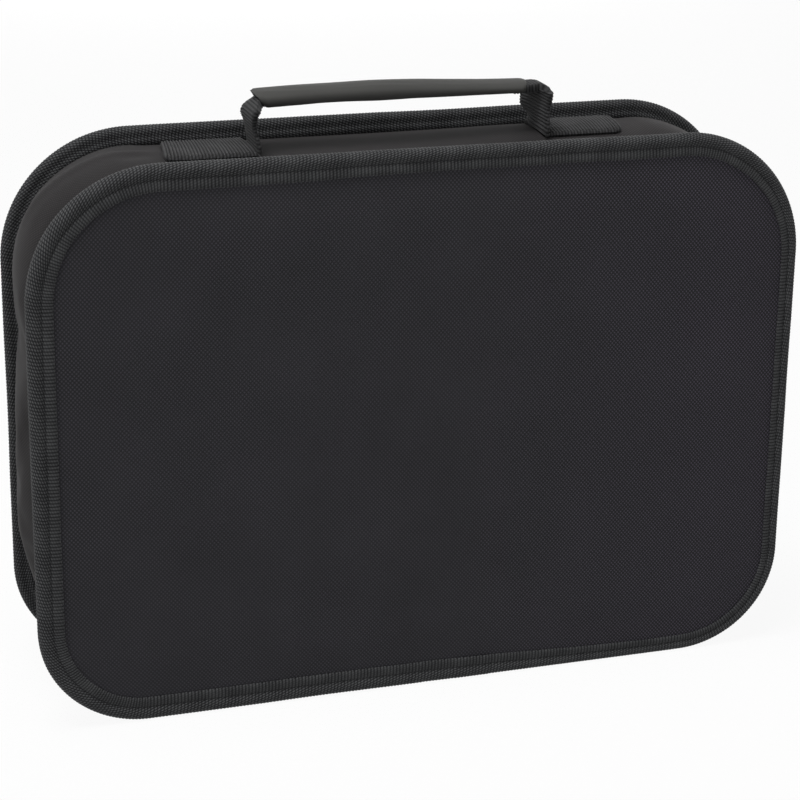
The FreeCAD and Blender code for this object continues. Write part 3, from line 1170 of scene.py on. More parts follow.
def gathered(across: Array, height: Array, front: Array, rear: Array) -> tuple[Array, Array]:
    """Turns the two edges of a band's section in under its middle, where they meet at a groove.

    Args:
        across: Place across the band, rearwards.
        height: Height in the band.
        front: How far the front edge is turned in, 0 to 1.
        rear: How far the rear edge is turned in, 0 to 1.

    Returns:
        Both coordinates of the gathered section.
    """
    share = np.where(across < 0, front, rear)
    doubled = (front + rear) / 2
    groove = np.exp(-((across / (2.2 * MM)) ** 2))
    under = np.where(height < 0, doubled * (2.0 - 1.1 * groove) * MM, 0)
    return across * (1 - 0.58 * share), height - under


def stitch_row(name: str, length: float, pitch: float, thread: float) -> Piece:
    """Makes a straight row of machine stitches along X.

    Args:
        name: Name of the piece.
        length: Length of the row.
        pitch: Distance from stitch to stitch.
        thread: Thickness of the thread.

    Returns:
        The row, from 0 to its length.
    """
    count = round(length / pitch)
    step = length / count
    deselect()
    bpy.ops.mesh.primitive_uv_sphere_add(segments=8, ring_count=5, radius=0.5, location=(0, 0, 0))
    row = named(name)
    put(row, points(row)[:, [2, 0, 1]] * (step * 0.8, thread, thread * 0.8) + (step / 2, 0, 0))
    weld(row)
    repeated(row, count, step)
    smooth(row)
    return row


@dataclass
class Wall:
    """Padded fabric wall between the zip and the rear panel, with its foam and its lining."""

    size: CaseSize
    finishes: Finishes
    cell: float = 5.0 * MM
    rows: int = 16
    swell: float = 2.6 * MM
    backing_half: float = 127 * MM
    ridge: tuple[float, float] = (715 * MM, 815 * MM)
    ridge_depth: float = 8 * MM
    ridge_height: float = 1.1 * MM
    ridge_half: float = 3.2 * MM
    ridge_lean: float = 6 * MM
    ridge_fade: float = 25 * MM
    seam_reach: float = 0.5 * MM
    hinge_half: float = 150 * MM
    hinge_height: float = 20 * MM
    padding_pressure: float = 0.6
    slack: float = 0.012
    reach: float = 1.6 * MM
    lowest: float = 0.9 * MM
    tray_depth: float = 1.3 * MM
    turned_edge: float = 5 * MM

    # Way along the outline and how far the padding swells out beyond the plain crown, in millimetres
    SWELLING = (
        (0, -2.7), (145, -2.7), (225, 0), (430, 0.4), (480, 1.7), (545, 1.8), (580, 0.6), (610, 0),
        (710, 0.2), (760, 2.2), (790, 4.6), (829, 4.4), (860, 4.4), (908, 5.6), (940, 6.8), (956, 6.4),
        (970, 3.0), (985, -1.0), (1000, -2.7), (1206, -2.7),
    )

    def swelling_at(self, x: Array) -> Array:
        """How far the top of the wall swells beyond the plain crown at each X."""
        return self.swelling_along(self.size.outline.length / 2 - np.asarray(x))

    def swelling_along(self, way: Array) -> Array:
        """How far the wall swells beyond the plain crown at each way along the outline."""
        ways, swellings = np.array(self.SWELLING).T * MM
        return np.interp(way, ways * self.size.outline.length / ways[-1], swellings)

    def crown(self, depth: Array, more: Array | float = 0.0) -> Array:
        """How far the fabric stands out between its two seams.

        Args:
            depth: Y of each point.
            more: Swelling beyond the plain crown.

        Returns:
            Distance outwards.
        """
        low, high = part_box("base_gusset")
        share = np.clip((np.asarray(depth) - low[1]) / (high[1] - low[1]), 0, 1)
        return (self.swell + more) * np.sin(math.pi * share) ** 0.7

    def skin(self) -> Piece:
        """Builds, eases and dresses the outer fabric."""
        outline = self.size.outline
        low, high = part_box("base_gusset")
        count = round(outline.length / self.cell)
        piece, flat = grid("wall_skin", count, self.rows)
        along, share = flat[:, 0] * outline.length, flat[:, 1]
        depth = low[1] + (high[1] - low[1]) * share
        more = self.swelling_along(along)
        start, stop = self.ridge
        middle = self.ridge_depth + self.ridge_lean * (along - start) / (stop - start)
        fade = self.ridge_fade
        shown = ease(along, start, start + fade) * (1 - ease(along, stop - fade, stop))
        more = more + self.ridge_height * np.exp(-(((depth - middle) / self.ridge_half) ** 2)) * shown
        map_to(piece, along, depth)
        put(piece, outline.place(along, self.size.flange_height - self.crown(depth, more), depth))
        weld(piece, 1e-5)
        place = points(piece)
        reach = self.seam_reach
        sewn = (place[:, 1] < low[1] + reach) | (place[:, 1] > high[1] - reach)
        under_tab = (np.abs(place[:, 0]) < self.backing_half) & (place[:, 2] > self.size.wall_top)
        near_hinge = (np.abs(place[:, 0]) < self.hinge_half) & (place[:, 2] < self.hinge_height)
        eased(piece, sewn | under_tab | near_hinge, self.padding_pressure, self.slack, self.reach)
        place = points(piece)
        place[:, 2] = np.maximum(place[:, 2], self.lowest)
        put(piece, place)
        finish_with(piece, "SUBSURF", levels=1, render_levels=1, boundary_smooth="PRESERVE_CORNERS")
        thicken(piece, self.size.fabric, -1)
        dress(piece, self.finishes.wall, "base", "base_gusset")
        # The cut has 3 percent more length and 6 percent more width than a plain wall, for the swelling
        return piece

    def foam(self) -> Piece:
        """Builds and dresses the foam, thinner where the backing strip lies."""
        outline = self.size.outline
        low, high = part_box("gusset_foam")
        outer = self.size.flange_height + self.size.fabric
        inner = outer + self.size.wall_foam
        soft = 0.7 * MM
        front, back = low[1], high[1]
        tray_front, tray_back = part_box("handle_backing")[0][1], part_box("handle_backing")[1][1]
        corners = [
            (outer + soft, front), (outer, front + soft), (outer, tray_front - 1 * MM),
            (outer, tray_front - 0.1 * MM), (outer, tray_back + 0.1 * MM), (outer, tray_back + 1 * MM),
            (outer, back - soft), (outer + soft, back), (inner - soft, back), (inner, back - soft),
            (inner, (front + back) / 2), (inner, front + soft), (inner - soft, front),
            (outer + soft, front),
        ]
        section = np.array(corners)
        count = round(outline.length / self.cell)
        piece, flat = grid("wall_foam", count, len(section) - 1)
        along = flat[:, 0] * outline.length
        _, row = numbered(flat, count, len(section) - 1)
        inset, depth = section[row].T
        tray = np.isin(row, (3, 4)) & (np.abs(along - outline.length / 2) < self.backing_half)
        # Along the bottom the fabric is pulled tight and presses the foam thinner
        pressed = np.interp(along / outline.length, (0.14, 0.18, 0.79, 0.82), (1.7, 0, 0, 1.7)) * MM
        outside = inset < (outer + inner) / 2
        put(piece, outline.place(along, inset + tray * self.tray_depth + outside * pressed, depth))
        weld(piece, 1e-5)
        smooth(piece, 40)
        dress(piece, self.finishes.foam, "base", "gusset_foam")
        return piece

    def lining(self) -> Piece:
        """Builds and dresses the lining, turned over the front edge of the foam."""
        outline = self.size.outline
        low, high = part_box("gusset_lining")
        inset = self.size.flange_height + self.size.fabric + self.size.wall_foam + self.size.lining / 2
        front = low[1] - 0.35 * MM
        knots = [
            (inset - 2.4 * MM, front), (inset - 0.9 * MM, front), (inset, front + 0.9 * MM), (inset, 0),
            (inset, high[1]),
        ]
        run = Run(knots)
        count = round(outline.length / self.cell)
        piece, flat = grid("wall_lining", count, 18)
        along = flat[:, 0] * outline.length
        # Two fifths of the cells go to the turned edge
        way = np.interp(flat[:, 1], (0, 0.4, 1), (0, self.turned_edge, run.length))
        placed_inset, depth = run.place(way, np.zeros_like(way))
        map_to(piece, along, way)
        put(piece, outline.place(along, placed_inset, depth))
        weld(piece, 1e-5)
        thicken(piece, 0.5 * MM)
        dress(piece, self.finishes.lining, "base", "gusset_lining")
        return piece

    def build(self) -> list[Piece]:
        """Builds the wall's layers."""
        return [self.skin(), self.foam(), self.lining()]


@dataclass
class PanelLining:
    """Taffeta that covers the inner side of a panel's board."""

    size: CaseSize
    side: Side
    finishes: Finishes
    cell: float = 8 * MM

    def build(self) -> Piece:
        """Builds and dresses the lining.

        Returns:
            The piece.
        """
        word, outline = self.side.word, self.size.outline
        low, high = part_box(word + "_lining")
        inset = outline.width / 2 - high[0]
        wide, tall = high[0] - low[0], high[2] - low[2]
        piece, flat = grid(word + "_inner_lining", round(wide / self.cell), round(tall / self.cell))
        x, z = (flat[:, 0] - 0.5) * wide, low[2] + flat[:, 1] * tall
        x, z = outline.rounded_off(x, z, inset)
        soft = ripple(x + 0.5 * z, 11, (0.09, 0.14)) * ripple(z, 12, (0.08, 0.13)) * 0.12 * MM
        put(piece, x, (low[1] + high[1]) / 2 + soft, z)
        map_to(piece, x, z)
        if self.side is Side.REAR:
            turn_out(piece, over=True)
        thicken(piece, 0.4 * MM)
        dress(piece, self.finishes.lining, self.side.body, word + "_lining")
        cut = outline.cut_area(wide, tall, inset)
        return piece


@dataclass
class ZipHalf:
    """One half of the zip: a woven tape with a nylon coil sewn to its edge."""

    size: CaseSize
    body: str
    finishes: Finishes
    end_half: float = 132 * MM
    pitch: float = 1.7 * MM
    overlap: float = 0.75 * MM

    @property
    def toward(self) -> int:
        """Direction along Y in which the coil faces."""
        return 1 if self.body == "lid" else -1

    def tape(self) -> Piece:
        """Builds and dresses the tape."""
        outline = self.size.outline
        low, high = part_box("zip_tape_" + self.body)
        inset = self.size.flange_height + self.size.fabric + 0.4 * MM
        piece, flat = grid("zip_tape_" + self.body + "_woven", 200, 8)
        along = self.end_half + flat[:, 0] * (outline.length - 2 * self.end_half)
        depth = low[1] + flat[:, 1] * (high[1] - low[1])
        map_to(piece, along, depth)
        put(piece, outline.place(along, np.full_like(along, inset), depth))
        thicken(piece, 0.7 * MM)
        dress(piece, self.finishes.zip_tape, self.body, "zip_tape_" + self.body)
        return piece

    def coil(self) -> Piece:
        """Builds and dresses the coil from one repeated turn."""
        outline = self.size.outline
        low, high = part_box("zip_coil_" + self.body)
        inset = self.size.flange_height
        length = outline.length - 2 * self.end_half
        count = round(length / self.pitch)
        step = length / count
        deselect()
        bpy.ops.mesh.primitive_torus_add(
            major_segments=12, minor_segments=5, major_radius=1.0, minor_radius=0.3, location=(0, 0, 0),
        )
        piece = named("zip_coil_" + self.body + "_teeth")
        place = points(piece)
        reach = (high[1] - low[1] + self.overlap) / 2
        head = ease(place[:, 0], 0.2, 1.2)
        across = place[:, 0] / 1.3 * reach + self.overlap / 2
        tall = place[:, 1] / 1.3 * 0.8 * MM
        thick = place[:, 2] * (1.05 + 0.35 * head) * MM
        middle = self.toward * (low[1] + high[1]) / 2
        shift = step * (0.25 if self.body == "lid" else 0.75)
        put(piece, thick + shift, middle + across, inset - tall)
        repeated(piece, count, step)
        place = points(piece)
        put(piece, outline.place(self.end_half + place[:, 0], place[:, 2], self.toward * place[:, 1]))
        turn_out(piece)
        smooth(piece)
        dress(piece, self.finishes.coil, self.body, "zip_coil_" + self.body)
        return piece

    def build(self) -> list[Piece]:
        """Builds the tape and the coil."""
        return [self.tape(), self.coil()]


@dataclass
class FabricHinge:
    """Fabric strip along the bottom between the zip's ends, with a small tab under each end."""

    size: CaseSize
    finishes: Finishes
    hinge: tuple[float, float] = (-28 * MM, 4.5 * MM)
    fold_half: float = 8.6 * MM
    tab_drop: float = 0.8 * MM
    shoulder: tuple[float, float] = (3.5 * MM, 1.8 * MM)
    valley_lift: float = 0.45 * MM
    layer_thickness: float = 0.7 * MM

    def layer(self, name: str, node: str, flat_z: float, columns: int) -> Piece:
        """Builds one layer with its slack fold along the hinge line.

        Args:
            name: Name of the piece.
            node: CAD node that it stands for.
            flat_z: Z of the layer's middle where it lies flat.
            columns: Cells along X.

        Returns:
            The piece.
        """
        low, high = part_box(node)
        valley = low[2] + self.valley_lift
        front, back = self.hinge[0] - self.fold_half, self.hinge[0] + self.fold_half
        out, down = self.shoulder
        knots = [
            (low[1], flat_z), (front, flat_z), (front + out, flat_z - down), (self.hinge[0], valley),
            (back - out, flat_z - down), (back, flat_z), (high[1], flat_z),
        ]
        # The tabs start where the fold does, so they have no flat part before it
        run = Run(knots if abs(low[1] - front) > 1 * MM else knots[1:])
        piece, flat = grid(name, columns, 22)
        x = low[0] + flat[:, 0] * (high[0] - low[0])
        way = flat[:, 1] * run.length
        y, z = run.place(way, np.zeros_like(way))
        map_to(piece, x, way)
        put(piece, x, y, z)
        thicken(piece, self.layer_thickness)
        dress(piece, self.finishes.wall, node=node)
        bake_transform(piece)
        return piece

    def build(self) -> list[Piece]:
        """Builds the strip and both tabs.

        Returns:
            The pieces.
        """
        strip_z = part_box("hinge_strip")[1][2] - 0.4 * MM
        pieces = [self.layer("hinge_strip_fabric", "hinge_strip", strip_z, 48)]
        for hand in Hand:
            word = hand.word
            tab_z = strip_z - self.tab_drop
            pieces.append(self.layer("zip_end_cover_" + word, "zip_end_tab_" + word, tab_z, 4))
        return pieces


@dataclass
class Handle:
    """Webbing handle: sewn tabs, two legs, and a fabric sleeve round the folded middle."""

    size: CaseSize
    wall: Wall
    finishes: Finishes
    webbing: Band = field(default_factory=lambda: Band(38 * MM, 1.9 * MM, 1.6 * MM, 0.5 * MM))
    tab_corner: float = 5 * MM
    seam_inset: float = 3 * MM
    split_z: float = 277 * MM
    sleeve_low_z: float = 287.4 * MM
    askew: float = 5 * MM
    foot_pull: float = 4 * MM
    pinch_way: float = 11.5 * MM
    pinch_half: float = 5 * MM
    tab_shift: float = 0.5 * MM
    seam_half: float = 0.8 * MM
    seam_depth: float = 0.35 * MM
    tab_edge: float = 1.5 * MM

    # How far each leg stands outside its tab's inner end, and how long the tab is beyond it
    ROOT = {Hand.LEFT: (0.0, 44 * MM), Hand.RIGHT: (2.5 * MM, 40 * MM)}

    # Width of each tab, which is drawn in by its seams
    TAB_WIDTH = {Hand.LEFT: 36 * MM, Hand.RIGHT: 33 * MM}

    # How far from the end of each leg its front and its rear edge start and stop to turn in
    TURN_IN = {
        Hand.LEFT: ((13 * MM, 8 * MM), (25 * MM, 13 * MM)),
        Hand.RIGHT: ((17.5 * MM, 13.5 * MM), (23 * MM, 15 * MM)),
    }

    # How far the rear edge of each leg curls inwards and droops towards the top
    CURL = {Hand.LEFT: (2.2 * MM, 2.5 * MM), Hand.RIGHT: (2.2 * MM, 1.0 * MM)}

    # Share by which each leg is pinched narrower halfway up
    PINCH = {Hand.LEFT: 0.22, Hand.RIGHT: 0.12}

    # Way up each leg at which the pull of the foot on its rear edge ends
    PULL_END = {Hand.LEFT: 15 * MM, Hand.RIGHT: 9 * MM}

    # Middle line of each leg from its foot, inwards and upwards, in millimetres
    LEG = {
        Hand.LEFT: (
            (0, 0), (0.8, 0.3), (1.0, 1.6), (0.6, 5.0), (-0.2, 9.5), (-1.1, 14.0), (-1.3, 17.4),
            (-0.6, 19.6), (1.6, 21.2), (5.0, 22.9), (11.5, 25.0),
        ),
        Hand.RIGHT: (
            (0, 0), (0.5, 0.4), (0.6, 2.0), (0.2, 5.0), (0.0, 9.0), (-0.4, 13.3), (-0.7, 17.8),
            (-0.6, 21.1), (1.2, 21.8), (7.0, 21.4), (15.0, 21.3),
        ),
    }

    # Middle line of the grip over the solid's middle, and its height, from left to right in millimetres
    GRIP_RISE = (-0.9, -0.15, 0.2, 0.25, 0.05, -0.4, -0.85, -1.1)
    GRIP_HEIGHT = (8.4, 8.3, 8.0, 8.6, 8.1, 7.2, 6.1, 5.7)

    @property
    def middle_y(self) -> float:
        """Y of the handle's middle plane."""
        low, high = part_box("handle_tab_left")
        return (low[1] + high[1]) / 2

    def tab_box(self, hand: Hand) -> tuple[Sequence[float], Sequence[float]]:
        """Corners of a tab's solid."""
        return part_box("handle_tab_" + hand.word)

    def tab_top(self, x: Array, y: Array, hand: Hand) -> Array:
        """Z of the middle of a tab, which follows the crown of the wall."""
        low, high = self.tab_box(hand)
        return (low[2] + high[2]) / 2 + self.wall.crown(y, self.wall.swelling_at(x))

    def foot_x(self, hand: Hand) -> float:
        """X at which a leg rises from its tab."""
        low, high = self.tab_box(hand)
        return (high[0] if hand is Hand.LEFT else low[0]) + hand.value * self.ROOT[hand][0]

    def tab(self, hand: Hand) -> Piece:
        """Builds and dresses one sewn tab, laid over the crown of the wall."""
        word = hand.word
        low, high = self.tab_box(hand)
        length = self.ROOT[hand][1]
        width = self.TAB_WIDTH[hand]
        band = Band(width, high[2] - low[2], self.webbing.rib, 0.7 * MM)
        piece = band.flat("sewn_tab_" + word, length)
        along, across, height = points(piece).T
        outer = length - along
        corner = np.clip(1 - outer / self.tab_corner, 0, 1)
        across = across * (1 - self.tab_corner / band.width * 2 * (1 - np.sqrt(1 - corner**2)))
        edge = np.minimum(outer, width / 2 - np.abs(across))
        seam = self.seam_depth * np.exp(-(((edge - self.seam_inset) / self.seam_half) ** 2))
        height = height * (0.7 + 0.3 * ease(edge, 0, self.tab_edge)) - seam * (height > 0)
        askew = self.askew * (0.5 + across / width) * along / length
        x, y = self.foot_x(hand) + hand.value * along + askew, across + self.middle_y + self.tab_shift
        put(piece, x, y, height + self.tab_top(x, y, hand))
        turn_out(piece)
        smooth(piece, 50)
        dress(piece, self.finishes.webbing, "base", "handle_tab_" + word)
        return piece

    def tab_stitches(self, hand: Hand) -> Piece:
        """Builds and dresses the row of stitches round a tab."""
        low, high = self.tab_box(hand)
        half = self.TAB_WIDTH[hand] / 2 - self.seam_inset
        inner, outer = 3 * MM, self.ROOT[hand][1] - self.seam_inset
        knots = [
            (inner, half), ((inner + outer) / 2, half), (outer - 3 * MM, half), (outer, half - 3 * MM),
            (outer, 0), (outer, 3 * MM - half), (outer - 3 * MM, -half), ((inner + outer) / 2, -half),
            (inner, -half),
        ]
        run = Run(knots, 12)
        row = stitch_row("tab_stitches_" + hand.word, run.length, 2.6 * MM, 0.5 * MM)
        along, across, lift = points(row).T
        out, y = run.place(along, across)
        askew = self.askew * (0.5 + y / self.TAB_WIDTH[hand]) * out / self.ROOT[hand][1]
        x, y = self.foot_x(hand) + hand.value * out + askew, y + self.middle_y + self.tab_shift
        top = self.tab_top(x, y, hand) + (high[2] - low[2]) / 2 - 0.25 * MM
        put(row, x, y, top + lift)
        weld(row)
        dress(row, self.finishes.thread, "base")
        return row

    def leg_run(self, hand: Hand) -> Run:
        """Middle line of a leg, inwards from its foot and upwards."""
        foot_z = float(self.tab_top(self.foot_x(hand), self.middle_y, hand))
        return Run([(x * MM, foot_z + z * MM) for x, z in self.LEG[hand]])

    def leg(self, hand: Hand, upper: bool) -> Piece:
        """Builds and dresses the lower or the upper half of a leg.

        Args:
            hand: Which leg.
            upper: True for the half that turns into the grip.

        Returns:
            The piece.
        """
        word = hand.word
        run = self.leg_run(hand)
        split = run.way_to(self.split_z)
        begin, end = (split, run.length) if upper else (0.0, split)
        piece = self.webbing.flat(f"leg_{word}_{'upper' if upper else 'lower'}_band", end - begin)
        place = points(piece)
        way = begin + place[:, 0]
        front, rear = (
            ease(way, run.length - first, run.length - last) for first, last in self.TURN_IN[hand]
        )
        across, height = gathered(place[:, 1], place[:, 2], front, rear)
        pinch = np.exp(-(((way - self.pinch_way) / self.pinch_half) ** 2))
        across = across * (1 - self.PINCH[hand] * pinch)
        x, z = run.place(way, height)
        rise = self.wall.crown(place[:, 1] + self.middle_y) - self.wall.swell
        z = z + rise * (1 - ease(way, 0, 6 * MM))
        rearward = np.clip(place[:, 1] / self.webbing.width * 2, 0, 1) ** 2
        curl, droop = self.CURL[hand]
        x = x + curl * rearward * ease(way, 2 * MM, 12 * MM) * (1 - rear)
        drooping = ease(way, 10 * MM, 20 * MM)
        ending = ease(way, run.length - 10 * MM, run.length - 3 * MM)
        z = z - droop * rearward * drooping * (1 - ending)
        pulled = self.foot_pull * rearward * (1 - ease(way, 2 * MM, self.PULL_END[hand]))
        across = across - 0.5 * pulled
        put(piece, self.foot_x(hand) - hand.value * x + pulled, self.middle_y + across, z)
        turn_out(piece)
        smooth(piece, 50)
        dress(piece, self.finishes.webbing)
        if upper:
            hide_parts(f"leg_{word}_upper")
            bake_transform(piece)
        else:
            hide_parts(f"leg_{word}_lower")
            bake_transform(piece)
        return piece

    def grip_line(self) -> Run:
        """Middle line of the grip in X and Z."""
        low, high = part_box("grip_sleeve")
        middle = (low[2] + high[2]) / 2
        stations = np.linspace(low[0], high[0], len(self.GRIP_RISE))
        return Run([(x, middle + rise * MM) for x, rise in zip(stations, self.GRIP_RISE)])

    def folded_webbing(self) -> Piece:
        """Builds and dresses the folded webbing inside the sleeve."""
        low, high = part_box("grip_webbing")
        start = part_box("grip_sleeve")[0][0]
        line = self.grip_line()
        piece = self.webbing.flat("folded_webbing", high[0] - low[0])
        place = points(piece)
        turned = np.ones(len(place))
        across, height = gathered(place[:, 1], place[:, 2], turned, turned)
        x, z = line.place(place[:, 0] + low[0] - start, 0.8 * height + 0.6 * MM)
        put(piece, x, 0.9 * across + self.middle_y, z)
        smooth(piece, 50)
        dress(piece, self.finishes.webbing, "handle_grip", "grip_webbing")
        return piece

    def sleeve(self) -> Piece:
        """Builds and dresses the fabric sleeve, pressed flat and fuller in its left half."""
        low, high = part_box("grip_sleeve")
        line = self.grip_line()
        piece, flat = grid("grip_cover", 90, 40)
        way, angle = flat[:, 0], flat[:, 1] * 2 * math.pi
        across, up = np.cos(angle), np.sin(angle)
        stations = np.linspace(0, 1, len(self.GRIP_HEIGHT))
        fullness = Run(list(zip(stations, self.GRIP_HEIGHT)))
        half_high = np.interp(way, fullness.line[:, 0], fullness.line[:, 1]) / 2 * MM
        half_wide = (high[1] - low[1]) / 2
        y = half_wide * np.sign(across) * np.abs(across) ** 0.75
        z = half_high * np.sign(up) * np.abs(up) ** 0.85
        long_puckers = ripple(way * 0.13 + 3 * y, 21, (0.031, 0.047, 0.07))
        puckers = long_puckers * ripple(y + 0.013 * way, 22, (0.011, 0.017))
        crease = np.exp(-(((y + 4 * MM) / (1.3 * MM)) ** 2)) * (z > 0) * np.sin(math.pi * way)
        lift = z * (1 + 0.08 * puckers) - 0.35 * MM * crease
        # The right end is cut askew, and the left end gapes at its top
        right_end, left_end = ease(way, 0.92, 1), 1 - ease(way, 0, 0.07)
        mouth = MM * (2.5 * across * right_end + (2.4 * (1 - up) - 1.8) * left_end)
        lip = 1 - 0.2 * (1 - ease(np.minimum(way, 1 - way), 0, 0.015))
        x, z = line.place(way * line.length, lift * lip)
        y = y * lip
        put(piece, x + mouth, self.middle_y + y, z)
        map_to(piece, x, angle * 8 * MM)
        weld(piece, 1e-6)
        thicken(piece, 0.5 * MM, -1, 60)
        dress(piece, self.finishes.grip, "handle_grip", "grip_sleeve")
        return piece

    def build(self) -> list[Piece]:
        """Builds the whole handle.

        Returns:
            The pieces.
        """
        pieces = [self.sleeve(), self.folded_webbing()]
        for hand in Hand:
            pieces += [
                self.tab(hand), self.tab_stitches(hand), self.leg(hand, False), self.leg(hand, True),
            ]
        return pieces


@dataclass
class NetPocket:
    """Net pocket on the lid's lining: tape edging, net and an elastic top."""

    finishes: Finishes
    edging_width: float = 10 * MM
    mesh_cell: float = 4.0 * MM

    def edging(self) -> Piece:
        """Builds and dresses the tape round three sides."""
        low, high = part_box("pocket_edging")
        wide, tall, mid = high[0] - low[0], high[2] - low[2], (low[1] + high[1]) / 2
        width, half = self.edging_width, self.edging_width / 2
        band = Band(width, 0.8 * MM, 1.66 * MM, 0.15 * MM, 6)
        upright = Matrix.Rotation(math.radians(90), 4, "X")
        # Length, turn in degrees, X and Z of the bottom strip and of both sides
        laid = (
            (wide, 0, low[0], low[2] + half), (tall - width, 90, low[0] + half, low[2] + width),
            (tall - width, 90, high[0] - half, low[2] + width),
        )
        strips = []
        for number, (length, turn, x, z) in enumerate(laid):
            strip = band.flat(f"edging_{number}", length)
            turned = Matrix.Rotation(math.radians(-turn), 4, "Y")
            strip.data.transform(Matrix.Translation((x, mid, z)) @ turned @ upright)
            strips.append(strip)
        piece = joined("pocket_edge_tape", strips)
        smooth(piece, 50)
        dress(piece, self.finishes.tape, "lid", "pocket_edging")
        return piece

    def net(self) -> Piece:
        """Builds and dresses the net from one repeated lattice."""
        low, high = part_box("mesh_pocket")
        wide, tall = high[0] - low[0], high[2] - low[2]
        columns, rows = round(wide / self.mesh_cell), round(tall / self.mesh_cell)
        piece, flat = grid("pocket_net", columns, rows)
        column, row = numbered(flat, columns, rows)
        inner = (column > 0) & (column < columns) & (row > 0) & (row < rows)
        zigzag = np.where(row % 2 == 0, 0.25, -0.25) * wide / columns * inner
        x, z = low[0] + flat[:, 0] * wide + zigzag, low[2] + flat[:, 1] * tall
        put(piece, x, (low[1] + high[1]) / 2, z)
        finish_with(piece, "WIREFRAME", thickness=0.45 * MM, use_even_offset=False)
        smooth(piece)
        dress(piece, self.finishes.net, "lid", "mesh_pocket")
        return piece

    def elastic(self) -> Piece:
        """Builds and dresses the elastic along the open edge."""
        low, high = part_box("pocket_elastic")
        band = Band(high[2] - low[2], 1.1 * MM, 2.4 * MM, 0.35 * MM, 8)
        piece = band.flat("pocket_top_elastic", high[0] - low[0])
        upright = Matrix.Rotation(math.radians(90), 4, "X")
        middle = Matrix.Translation((low[0], (low[1] + high[1]) / 2, (low[2] + high[2]) / 2))
        piece.data.transform(middle @ upright)
        smooth(piece, 50)
        dress(piece, self.finishes.elastic, "lid", "pocket_elastic")
        return piece

    def build(self) -> list[Piece]:
        """Builds the pocket."""
        return [self.edging(), self.net(), self.elastic()]


@dataclass
class Straps:
    """Elastic on the rear lining: two wide tool straps and one band of loops."""

    finishes: Finishes
    loop_land: float = 7 * MM
    loop_count: int = 8
    thickness: float = 1.0 * MM
    strap_foot: float = 9 * MM
    rib: float = 1.2 * MM
    rib_height: float = 0.12 * MM

    def arch(self, foot: float, span: float, rise: float) -> list[tuple[float, float]]:
        """Knots of one arch, starting at 0: a flat foot, the arch and a flat foot."""
        high = rise - self.thickness
        shares = (
            (0.0, 0.0), (0.12, 0.42), (0.28, 0.82), (0.5, 1.0), (0.72, 0.82), (0.88, 0.42), (1.0, 0.0),
        )
        inner = [(foot + span * along, high * up) for along, up in shares]
        return [(0.0, 0.0)] + inner + [(2 * foot + span, 0.0)]

    def strap(self, hand: Hand) -> Piece:
        """Builds and dresses one tool strap."""
        word = hand.word
        low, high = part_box("tool_strap_" + word)
        foot = self.strap_foot
        run = Run(self.arch(foot, high[2] - low[2] - 2 * foot, high[1] - low[1]))
        band = Band(high[0] - low[0], self.thickness, self.rib, self.rib_height, 12)
        piece = band.flat("tool_band_" + word, run.length)
        place = points(piece)
        z, rise = run.place(place[:, 0], place[:, 2])
        put(piece, place[:, 1] + (low[0] + high[0]) / 2, high[1] - self.thickness / 2 - rise, z + low[2])
        return self.finished(piece, "tool_strap_" + word)

    def loops(self) -> Piece:
        """Builds and dresses the band of loops."""
        low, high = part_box("accessory_loops")
        pitch = (high[0] - low[0]) / self.loop_count
        knots: list[tuple[float, float]] = []
        for number in range(self.loop_count):
            arch = self.arch(self.loop_land / 2, pitch - self.loop_land, high[1] - low[1])
            knots += [(x + number * pitch, rise) for x, rise in (arch if number == 0 else arch[1:])]
        run = Run(knots, 6)
        band = Band(high[2] - low[2], self.thickness, self.rib, self.rib_height, 10)
        piece = band.flat("loop_band", run.length)
        place = points(piece)
        x, rise = run.place(place[:, 0], place[:, 2])
        put(piece, x + low[0], high[1] - self.thickness / 2 - rise, place[:, 1] + (low[2] + high[2]) / 2)
        return self.finished(piece, "accessory_loops")

    def finished(self, piece: Piece, node: str) -> Piece:
        """Turns the faces out and gives the elastic its finish and its body."""
        turn_out(piece)
        smooth(piece, 50)
        dress(piece, self.finishes.elastic, "base", node)
        return piece

    def build(self) -> list[Piece]:
        """Builds the straps and the loops."""
        return [self.strap(Hand.LEFT), self.strap(Hand.RIGHT), self.loops()]


def dress_nodes(finishes: Finishes) -> None:
    """Gives the carried-over solids their finishes.

    Args:
        finishes: The materials.
    """
    chosen = {
        "front_board": finishes.board, "rear_board": finishes.board, "handle_backing": finishes.board,
        "slider_left": finishes.metal, "slider_right": finishes.metal, "pull_tab_left": finishes.metal,
        "pull_tab_right": finishes.metal, "pull_grip_left": finishes.rubber,
        "pull_grip_right": finishes.rubber,
    }
    for name, material in chosen.items():
        for slot in bpy.data.objects[name].material_slots:
            slot.material = material


